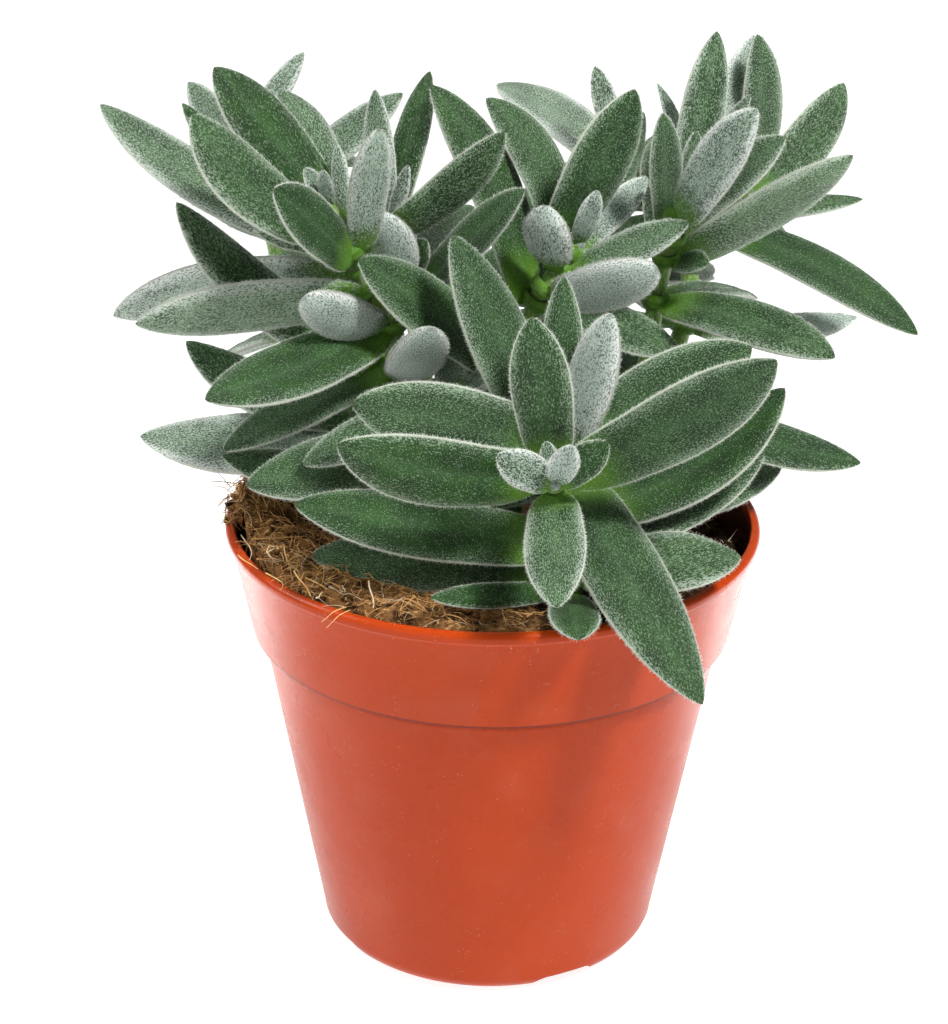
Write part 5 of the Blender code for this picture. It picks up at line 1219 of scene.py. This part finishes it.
def make_pot(mat):
    zc = POT_H - COLLAR_H
    wall_r = lambda z: BASE_R + (BODY_TOP_R - BASE_R) * (z / zc)
    foot = []
    for k in range(7):
        q = math.radians(-90 + 15 * k)
        foot.append((wall_r(BASE_ROUND) - BASE_ROUND + BASE_ROUND * math.cos(q), BASE_ROUND + BASE_ROUND * math.sin(q)))
    outer = [(0.0, 0.6), (18.0, 0.6), (18.8, 0.0)] + foot
    outer += [(wall_r(zc * k / 8.0), zc * k / 8.0) for k in range(1, 8)]
    upper = [(BODY_TOP_R - 0.05, zc - 1.2), (BODY_TOP_R - 0.35, zc - 0.35), (COLLAR_R - 0.15, zc - 0.15), (COLLAR_R, zc + 0.35), (COLLAR_R + 0.25 * (RIM_R - LIP_OUT - COLLAR_R), zc + 4.3),
             (COLLAR_R + 0.62 * (RIM_R - LIP_OUT - COLLAR_R), zc + 10.4), (RIM_R - LIP_OUT, POT_H - LIP_H - 0.35),
             (RIM_R, POT_H - LIP_H), (RIM_R + 0.02, POT_H - 0.55), (RIM_R - 0.5, POT_H), (RIM_R - WALL - 0.5, POT_H),
             (RIM_R - LIP_OUT - WALL, POT_H - LIP_H), (COLLAR_R - WALL + 0.1, zc + 1.6), (BODY_TOP_R - WALL, zc - 0.6),
             (wall_r(BASE_ROUND) - WALL, BASE_ROUND + 0.4), (wall_r(0) - 2.6, FLOOR_T), (0.0, FLOOR_T)]
    prof = outer + rounded([outer[-1]] + upper, 0.35)[1:]
    n = 144
    rows = np.array(prof[1:-1])
    q = np.arange(n) * 2 * math.pi / n
    v = np.stack([rows[:, 0:1] * np.cos(q), rows[:, 0:1] * np.sin(q), rows[:, 1:2] + np.zeros(n)], -1).reshape(-1, 3)
    low, top = len(v), len(v) + 1
    v = np.vstack([v, [0, 0, prof[0][1]], [0, 0, prof[-1][1]]])
    f = list(grid_tris(len(rows), n))
    for k in range(n):
        j = (k + 1) % n
        f.append([j, k, low])
        f.append([(len(rows) - 1) * n + k, (len(rows) - 1) * n + j, top])
    me = fast_mesh("pot_body", v, outward(v, np.array(f)))
    pot = bpy.data.objects.new("pot_body", me)
    bpy.context.scene.collection.objects.link(pot)
    for i in range(DRAINS):
        a = math.radians(-62 + 360 * i / DRAINS)
        # arched cut-out: a rounded bar through the foot of the wall
        bar, sides = [], 16
        for x in (BASE_R - 6.0, BASE_R + 4.0):
            for k in range(sides):
                b = 2 * math.pi * k / sides
                y = DRAIN_W / 2 * math.copysign(abs(math.cos(b)) ** 0.45, math.cos(b))
                z = DRAIN_H * math.copysign(abs(math.sin(b)) ** 0.8, math.sin(b)) - 0.05
                bar.append([x * math.cos(a) - y * math.sin(a), x * math.sin(a) + y * math.cos(a), z])
        bar = np.array(bar)
        bf = list(grid_tris(2, sides))
        for k in range(1, sides - 1):
            bf.append([0, k + 1, k])
            bf.append([sides, sides + k, sides + k + 1])
        cutter = bpy.data.objects.new("cut", fast_mesh("cut", bar, outward(bar, np.array(bf))))
        bpy.context.scene.collection.objects.link(cutter)
        mod = pot.modifiers.new("cut", "BOOLEAN")
        mod.operation, mod.solver, mod.object = "DIFFERENCE", "EXACT", cutter
        deps = bpy.context.evaluated_depsgraph_get()
        me = bpy.data.meshes.new_from_object(pot.evaluated_get(deps))
        pot.modifiers.clear()
        pot.data = me
        bpy.data.objects.remove(cutter)
    me = pot.data
    bpy.data.objects.remove(pot)
    bm = bmesh.new()
    bm.from_mesh(me)
    bmesh.ops.triangulate(bm, faces=[x for x in bm.faces if len(x.verts) > 4])
    bm.to_mesh(me)
    bm.free()
    me.shade_smooth()
    me.set_sharp_from_angle(angle=math.radians(38))
    return piece("pot_body", me, mat, ("pot",))


def lump_noise(x, y):
    return (noise.noise(Vector((x * 0.28, y * 0.28, 3.0))) * 0.9 + noise.noise(Vector((x * 0.75, y * 0.75, 9.0))) * 0.55
            + noise.noise(Vector((x * 1.9, y * 1.9, 17.0))) * 0.28)


def ground(x, y):
    """Height of the visible substrate: heaped to the rim at the left and front, sunk at the right."""
    r, a = math.hypot(x, y), math.degrees(math.atan2(y, x)) % 360
    along = float(smooth(a, 125.0, 165.0)) * (1 - float(smooth(a, 268.0, 300.0)))
    heap = 2.5 * along * float(smooth(r, 24.0, 37.0))
    high = 2.6 * float(smooth(a, 128.0, 145.0)) * (1 - float(smooth(a, 178.0, 192.0))) * float(smooth(r, 29.0, 37.0))
    sunk = 1.8 * float(smooth(x, 16.0, 36.0))
    return soil_height(x, y) + lump_noise(x, y) * 1.35 + heap + high - sunk


def on_ground(u, v, lift=0.0):
    """Point of the substrate seen at a place of the drawing."""
    ray, z = sight(u, v), SOIL_TOP
    for _ in range(6):
        p = EYE + ray * ((z - EYE[2]) / ray[2])
        z = ground(p[0], p[1]) + lift
    return EYE + ray * ((z - EYE[2]) / ray[2])


def make_soil(mat):
    zc = POT_H - COLLAR_H
    inner = lambda z: ((BASE_R + (BODY_TOP_R - BASE_R) * z / zc - WALL - GAP - 0.15) if z < zc - 1.0 else
                       (COLLAR_R + (RIM_R - COLLAR_R) * (z - zc) / COLLAR_H - WALL - LIP_OUT - GAP - 0.25))
    n = 150
    q = np.arange(n) * 2 * math.pi / n
    rows = []
    for r, z in [(inner(0) - 3.0, FLOOR_T + GAP), (inner(5.0), 5.0), (inner(zc - 2.4), zc - 2.4),
                 (inner(zc + 3.0), zc + 3.0), (inner(62.0), 62.0)]:
        rows.append(np.stack([r * np.cos(q), r * np.sin(q), np.full(n, z)], -1))
    for frac in list(np.linspace(1.0, 0.03, 46)):
        r = inner(68.0) * frac
        ring = np.stack([r * np.cos(q), r * np.sin(q), np.zeros(n)], -1)
        ring[:, 2] = [ground(x, y) - (0.8 if frac == 1.0 else 0.0) for x, y in ring[:, :2]]
        rows.append(ring)
    v = np.vstack(rows)
    low, top = len(v), len(v) + 1
    v = np.vstack([v, [0, 0, FLOOR_T + GAP], [0, 0, ground(0, 0)]])
    f = list(grid_tris(len(rows), n))
    for k in range(n):
        j = (k + 1) % n
        f.append([j, k, low])
        f.append([(len(rows) - 1) * n + k, (len(rows) - 1) * n + j, top])
    me = fast_mesh("root_ball", v, outward(v, np.array(f)))
    return piece("root_ball", me, mat, ("substrate",))


def fibre(start, heading, length, radius, lift, curl, rng, inside=True):
    """One curly fibre lying on the substrate."""
    steps = max(5, int(length / 1.1))
    x, y = start
    pts = []
    bend = rng.normal() * curl
    phase = rng.random() * 6.28
    for i in range(steps + 1):
        s = i / steps
        z = ground(x, y) + radius * 0.6 + lift * math.sin(math.pi * s) * (0.6 + 0.4 * math.sin(5 * s + phase))
        pts.append([x, y, z])
        heading += (bend + rng.normal() * curl * 0.8) * length / steps
        x += math.cos(heading) * length / steps
        y += math.sin(heading) * length / steps
        if inside and math.hypot(x, y) > RIM_R - 2.9:
            break
    if len(pts) < 4:
        return None
    pts = np.array(pts)
    radii = radius * np.linspace(1.0, 0.45, len(pts))
    return tube(pts, radii, 3)


def strand(start, lean, length, radius, rng):
    """One short fibre that stands free, drooping at its end."""
    n = 7
    side = unit(np.cross(lean, [0.2, 0.1, 1.0]))
    w = rng.normal() * 0.25
    t = np.linspace(0, 1, n)[:, None]
    pts = np.array(start) + lean * length * t + side * w * length * t ** 2 - np.array([0, 0, 0.35]) * length * t ** 2
    return tube(pts, radius * np.linspace(1.0, 0.4, n), 3)


# roots and fibres that catch the eye: start and end in the drawing with their height over the ground
STRANDS = [
    ((747, 520, 1.2), (722, 548, 0.2), "pale", 0.07), ((369, 581, 3.0), (374, 608, 0.3), "pale", 0.15),
    ((284, 545, 0.9), (293, 580, 0.3), "golden", 0.10), ((251, 539, 0.8), (304, 536, 0.5), "golden", 0.11),
    ((301, 575, 0.9), (331, 592, 0.4), "golden", 0.13), ((294, 571, 0.6), (311, 596, 0.3), "golden", 0.12),
    ((231, 483, 1.6), (209, 481, 4.6), "brown", 0.08), ((230, 486, 1.4), (217, 472, 5.0), "brown", 0.07),
    ((229, 494, 1.2), (226, 505, 0.8), "brown", 0.09), ((241, 535, 0.7), (250, 560, 0.4), "pale", 0.09),
    ((257, 559, 0.5), (272, 559, 0.4), "golden", 0.10), ((388, 586, 1.4), (389, 603, 0.4), "brown", 0.10),
    ((415, 596, 1.6), (398, 611, 0.3), "golden", 0.08), ((343, 586, 0.8), (345, 592, 0.4), "pale", 0.13),
    ((316, 598, 0.6), (322, 592, 0.7), "pale", 0.10), ((258, 505, 0.8), (262, 522, 0.5), "golden", 0.11),
    ((301, 537, 0.6), (302, 556, 0.4), "brown", 0.10), ((346, 607, 1.2), (322, 622, 1.6), "golden", 0.09),
    ((350, 610, 1.2), (327, 628, 1.3), "golden", 0.08), ((266, 573, 1.0), (281, 590, 0.7), "golden", 0.11),
    ((238, 555, 0.7), (258, 569, 0.5), "golden", 0.10), ((429, 590, 0.7), (436, 612, 0.3), "pale", 0.09),
]


def make_fibres(mats):
    rng = np.random.default_rng(5)
    bins = {k: ([], [], [0]) for k in mats}

    def store(key, shell):
        if shell is None:
            return
        v, f = shell
        vs, fs, c = bins[key]
        vs.append(v)
        fs.append(f + c[0])
        c[0] += len(v)

    for i in range(2300):
        r = (RIM_R - 3.0) * math.sqrt(rng.random())
        a = rng.random() * 2 * math.pi
        x, y = r * math.cos(a), r * math.sin(a)
        if r < 25 and rng.random() < 0.9 or x > rng.uniform(-6, 14) and rng.random() < 0.90 or y > 12 and x > -12 and rng.random() < 0.6:
            continue
        key = rng.choice(["golden", "brown", "pale"], p=[0.60, 0.32, 0.08])
        length = rng.uniform(2.0, 11.0)
        store(key, fibre((x, y), rng.random() * 6.28, length,
                         rng.uniform(0.05, 0.12), abs(rng.normal()) * 0.8, 0.22, rng))
    # fine ends that stand up at the rim or lie over it
    for i in range(150):
        a = math.radians(rng.uniform(150.0, 292.0))
        r = RIM_R - rng.uniform(2.6, 6.0)
        x, y = r * math.cos(a), r * math.sin(a)
        lean = np.array([math.cos(a + rng.normal() * 0.9), math.sin(a + rng.normal() * 0.9), rng.uniform(0.15, 1.2)])
        reach_out = min(rng.uniform(1.5, 5.5), (RIM_R + 1.5 - r) / max(0.25, unit(lean)[:2] @ [math.cos(a), math.sin(a)]))
        store(rng.choice(["golden", "brown", "pale"], p=[0.6, 0.25, 0.15]),
              strand((x, y, max(ground(x, y), POT_H - 0.6) - 0.2), unit(lean), abs(reach_out), rng.uniform(0.045, 0.09), rng))
    # matted clump that spills over the rim at the left
    for i in range(420):
        a = math.radians(rng.uniform(138.0, 187.0))
        r = RIM_R - rng.uniform(-0.2, 4.5)
        x, y = r * math.cos(a), r * math.sin(a)
        go = a + rng.choice([-1, 1]) * (math.pi / 2 + rng.normal() * 0.45)
        z = max(POT_H + 0.15, ground(x, y) if r < RIM_R - 2.4 else 0.0) + rng.uniform(0.0, 1.3) * (1 - 0.6 * (r > RIM_R - 1.2))
        store(rng.choice(["golden", "brown", "pale"], p=[0.55, 0.40, 0.05]),
              strand((x, y, z), unit(np.array([math.cos(go), math.sin(go), rng.uniform(-0.05, 0.25)])), rng.uniform(1.6, 4.5),
                     rng.uniform(0.05, 0.11), rng))
    # single roots and fibres that stand out from the rest
    for (u0, v0, h0), (u1, v1, h1), key, thick in STRANDS:
        p, q = on_ground(u0, v0, h0), on_ground(u1, v1, h1)
        n = 9
        side = unit(np.cross(q - p, [0.1, 0.2, 1.0]))
        w = rng.normal() * 0.05 * np.linalg.norm(q - p)
        pts = np.array([p + (q - p) * t + side * w * math.sin(math.pi * t) + side * 0.12 * math.sin(7 * t) for t in np.linspace(0, 1, n)])
        store(key, tube(pts, np.linspace(1.0, 0.6, n) * thick, 6))
    for key in mats:
        v, f = np.vstack(bins[key][0]), np.vstack(bins[key][1])
        piece("coir_fibres_" + key, fast_mesh("coir_fibres_" + key, v, f), mats[key])


def make_crumbs(mat):
    """Crumbs of peat and coir pith on the surface."""
    rng = np.random.default_rng(8)
    bm = bmesh.new()
    bmesh.ops.create_icosphere(bm, subdivisions=1, radius=1.0)
    base = np.array([v.co[:] for v in bm.verts])
    bm.faces.ensure_lookup_table()
    tri = np.array([[v.index for v in fc.verts] for fc in bm.faces])
    bm.free()
    vs, fs, count = [], [], 0
    for i in range(760):
        r = (RIM_R - 3.4) * math.sqrt(rng.random())
        a = rng.random() * 2 * math.pi
        over = i >= 560
        if over:
            r, a = RIM_R - rng.uniform(0.3, 4.0), math.radians(rng.uniform(140.0, 186.0))
        x, y = r * math.cos(a), r * math.sin(a)
        size = rng.uniform(0.25, 0.95) * np.array([1.0, rng.uniform(0.6, 1.0), rng.uniform(0.45, 0.8)])
        v = base * (1 + rng.normal(size=(len(base), 1)) * 0.16) * size
        t = rng.random() * 6.28
        rot = np.array([[math.cos(t), -math.sin(t), 0], [math.sin(t), math.cos(t), 0], [0, 0, 1]])
        v = v @ rot.T + [x, y, max(POT_H + 0.1, ground(x, y) if r < RIM_R - 2.4 else 0.0) + size[2] * 0.5 if over else
                         ground(x, y) + size[2] * 0.25]
        vs.append(v)
        fs.append(tri + count)
        count += len(v)
    v, f = np.vstack(vs), np.vstack(fs)
    piece("peat_crumbs", fast_mesh("peat_crumbs", v, f), mat)


# ---------------------------------------------------------------- looks: the plant
def make_plant(stems, leaves, mats):
    dress(leaves)
    by_name = {st["name"]: st for st in stems}
    groups = {}
    for lf in leaves:
        groups.setdefault(lf["group"], []).append(lf)
    skins, blockers_v, blockers_f, count = [], [], [], 0
    seed = 0
    for name, members in groups.items():
        shell = Shell()
        cells = len(members) + 1
        for j, lf in enumerate(members):
            seed += 1
            big = lf["width"] > 5.0 and "uv" in lf
            along, around = (20, 24) if big else (15, 16) if "polar" in lf else (15, 18)
            v, f, lay, trait, kind, uv, g = fine_leaf(lf, along, around, seed)
            f = outward(v, f)
            uv = uv * [0.96 / cells, 0.96] + [(j + 0.02) / cells, 0.02]
            shell.add(v, f, lay, trait, kind, uv)
            skins.append(g)
            blockers_v.append(v)
            blockers_f.append(f + count)
            count += len(v)
        first = members[0]
        seed += 1
        extra = core_shell(first, seed) if first["last"] else collar_shell(first, by_name[first["stem"]], seed)
        v, f, lay, trait, kind, uv = extra
        f = outward(v, f)
        uv = uv * [0.96 / cells, 0.96] + [(cells - 1 + 0.02) / cells, 0.02]
        shell.add(v, f, lay, trait, kind, uv)
        blockers_v.append(v)
        blockers_f.append(f + count)
        count += len(v)
        piece(name + "_velvet", shell.mesh(name + "_velvet"), mats["leaf"], (name,))
    for st in stems:
        curve = spline(st["path"], 6)
        back = curve[-2] - curve[-1]
        curve[-1] = curve[-1] + unit(back) * 0.3
        frac = np.linspace(0, 1, len(curve))
        radii = st["r"] * (1.08 - 0.22 * frac) * (1 + 0.04 * np.sin(frac * 40))
        v, f = tube(curve, radii, 14)
        f = outward(v, f)
        blockers_v.append(v)
        blockers_f.append(f + count)
        count += len(v)
        piece(st["name"] + "_skin", fast_mesh(st["name"] + "_skin", v, f), mats["stem"], (st["name"],))
    tree = BVHTree.FromPolygons([Vector(p) for p in np.vstack(blockers_v)], np.vstack(blockers_f).tolist())
    found = sow(skins, tree, HAIR_FRONT, HAIR_BACK, EDGE_FRONT, EDGE_BACK)
    total = 0
    for stem, parts in found.items():
        roots = np.vstack([p[0] for p in parts])
        dirs = np.vstack([p[1] for p in parts])
        lengths = np.concatenate([p[2] for p in parts])
        radii = np.concatenate([p[3] for p in parts])
        total += len(roots)
        for k in range(0, len(roots), 45000):
            v, f = hair_mesh(roots[k:k + 45000], dirs[k:k + 45000], lengths[k:k + 45000], radii[k:k + 45000])
            label = "hairs_%s_%d" % (stem.replace("stem_", ""), k // 45000)
            piece(label, fast_mesh(label, v, f, flat=True), mats["hair"])
    print("hairs", total)


HAIR_FRONT, HAIR_BACK, EDGE_FRONT, EDGE_BACK = 3.6, 0.7, 9.0, 1.8


# ---------------------------------------------------------------- looks: stage, light and camera
def make_stage():
    me = bpy.data.meshes.new("floor")
    bm = bmesh.new()
    bmesh.ops.create_grid(bm, x_segments=1, y_segments=1, size=3.0)
    bm.to_mesh(me)
    bm.free()
    floor = bpy.data.objects.new("floor", me)
    bpy.context.scene.collection.objects.link(floor)
    floor.location = (0, 0, -0.0001)
    f = Finish("floor_white")
    f.set(Base_Color=(0.34, 0.34, 0.34, 1.0), Roughness=0.9)
    f.out.inputs["Specular IOR Level"].default_value = 0.1
    f.out.inputs["Emission Color"].default_value = (1.0, 1.0, 1.0, 1.0)
    place = f.split(f.place())
    away = f.math("SQRT", f.math("ADD", f.math("MULTIPLY", place[0], place[0]), f.math("MULTIPLY", place[1], place[1])))
    f.put(f.out.inputs["Emission Strength"], f.step(away, 0.10, 0.50, 0.90, 0.94))
    me.materials.append(f.mat)
    world = bpy.data.worlds.new("studio")
    bpy.context.scene.world = world
    world.use_nodes = True
    bg = world.node_tree.nodes["Background"]
    bg.inputs[0].default_value = (1.0, 1.0, 1.0, 1.0)
    bg.inputs[1].default_value = 0.14

    def soft_box(name, place, target, size, power):
        light = bpy.data.lights.new(name, "AREA")
        light.shape = "RECTANGLE"
        light.size, light.size_y = size
        light.energy = power
        ob = bpy.data.objects.new(name, light)
        bpy.context.scene.collection.objects.link(ob)
        ob.location = place
        d = Vector(target) - Vector(place)
        ob.rotation_euler = d.to_track_quat("-Z", "Y").to_euler()

    def pool(name, place, angle, power):
        light = bpy.data.lights.new(name, "SPOT")
        light.spot_size, light.spot_blend = angle, 0.5
        light.shadow_soft_size = 0.03
        light.energy = power
        ob = bpy.data.objects.new(name, light)
        bpy.context.scene.collection.objects.link(ob)
        ob.location = place

    soft_box("key", (0.34, -0.30, 0.72), (0, 0, 0.08), (0.14, 0.14), 6.2)
    soft_box("fill", (-0.45, -0.70, 0.42), (0, 0, 0.06), (0.5, 0.5), 0.9)
    pool("pool_left", (-0.155, 0.075, 0.55), 0.33, 100.0)
    pool("pool_right", (0.155, 0.075, 0.55), 0.33, 100.0)
    soft_box("left_top", (-0.52, 0.05, 0.55), (0, 0, 0.10), (0.35, 0.35), 2.6)
    soft_box("back", (-0.10, 0.60, 0.75), (0, 0, 0.10), (0.6, 0.4), 2.4)


def make_camera():
    cam = bpy.data.cameras.new("camera")
    cam.sensor_width = 36.0
    cam.lens = FOCAL / 1024.0 * 36.0
    cam.clip_start, cam.clip_end = 0.01, 20.0
    ob = bpy.data.objects.new("camera", cam)
    bpy.context.scene.collection.objects.link(ob)
    cr, sr = math.cos(ROLL), math.sin(ROLL)
    x = RIGHT * cr + UPWARD * sr
    y = -RIGHT * sr + UPWARD * cr
    z = -FORWARD
    m = Matrix(((x[0], y[0], z[0], EYE[0] * MM), (x[1], y[1], z[1], EYE[1] * MM), (x[2], y[2], z[2], EYE[2] * MM),
                (0, 0, 0, 1)))
    ob.matrix_world = m
    bpy.context.scene.camera = ob


def main():
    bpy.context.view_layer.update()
    stems, leaves = grow()
    arrange(stems, leaves)
    settle(stems, leaves)
    mats = dict(leaf=leaf_finish(), hair=hair_finish(), stem=stem_finish())
    make_pot(pot_finish())
    soil = soil_finish()
    make_soil(soil)
    make_crumbs(soil)
    make_fibres({"golden": fibre_finish("coir_golden", (0.80, 0.47, 0.17)),
                 "brown": fibre_finish("coir_brown", (0.28, 0.125, 0.042)),
                 "pale": fibre_finish("coir_pale", (0.76, 0.62, 0.42))})
    make_plant(stems, leaves, mats)
    make_stage()
    make_camera()
    bpy.context.scene.view_settings.view_transform = "Standard"
    bpy.context.scene.view_settings.look = "None"
    print("triangles added", sum(TRIS.values()), "largest", sorted(TRIS.items(), key=lambda kv: -kv[1])[:4])


main()
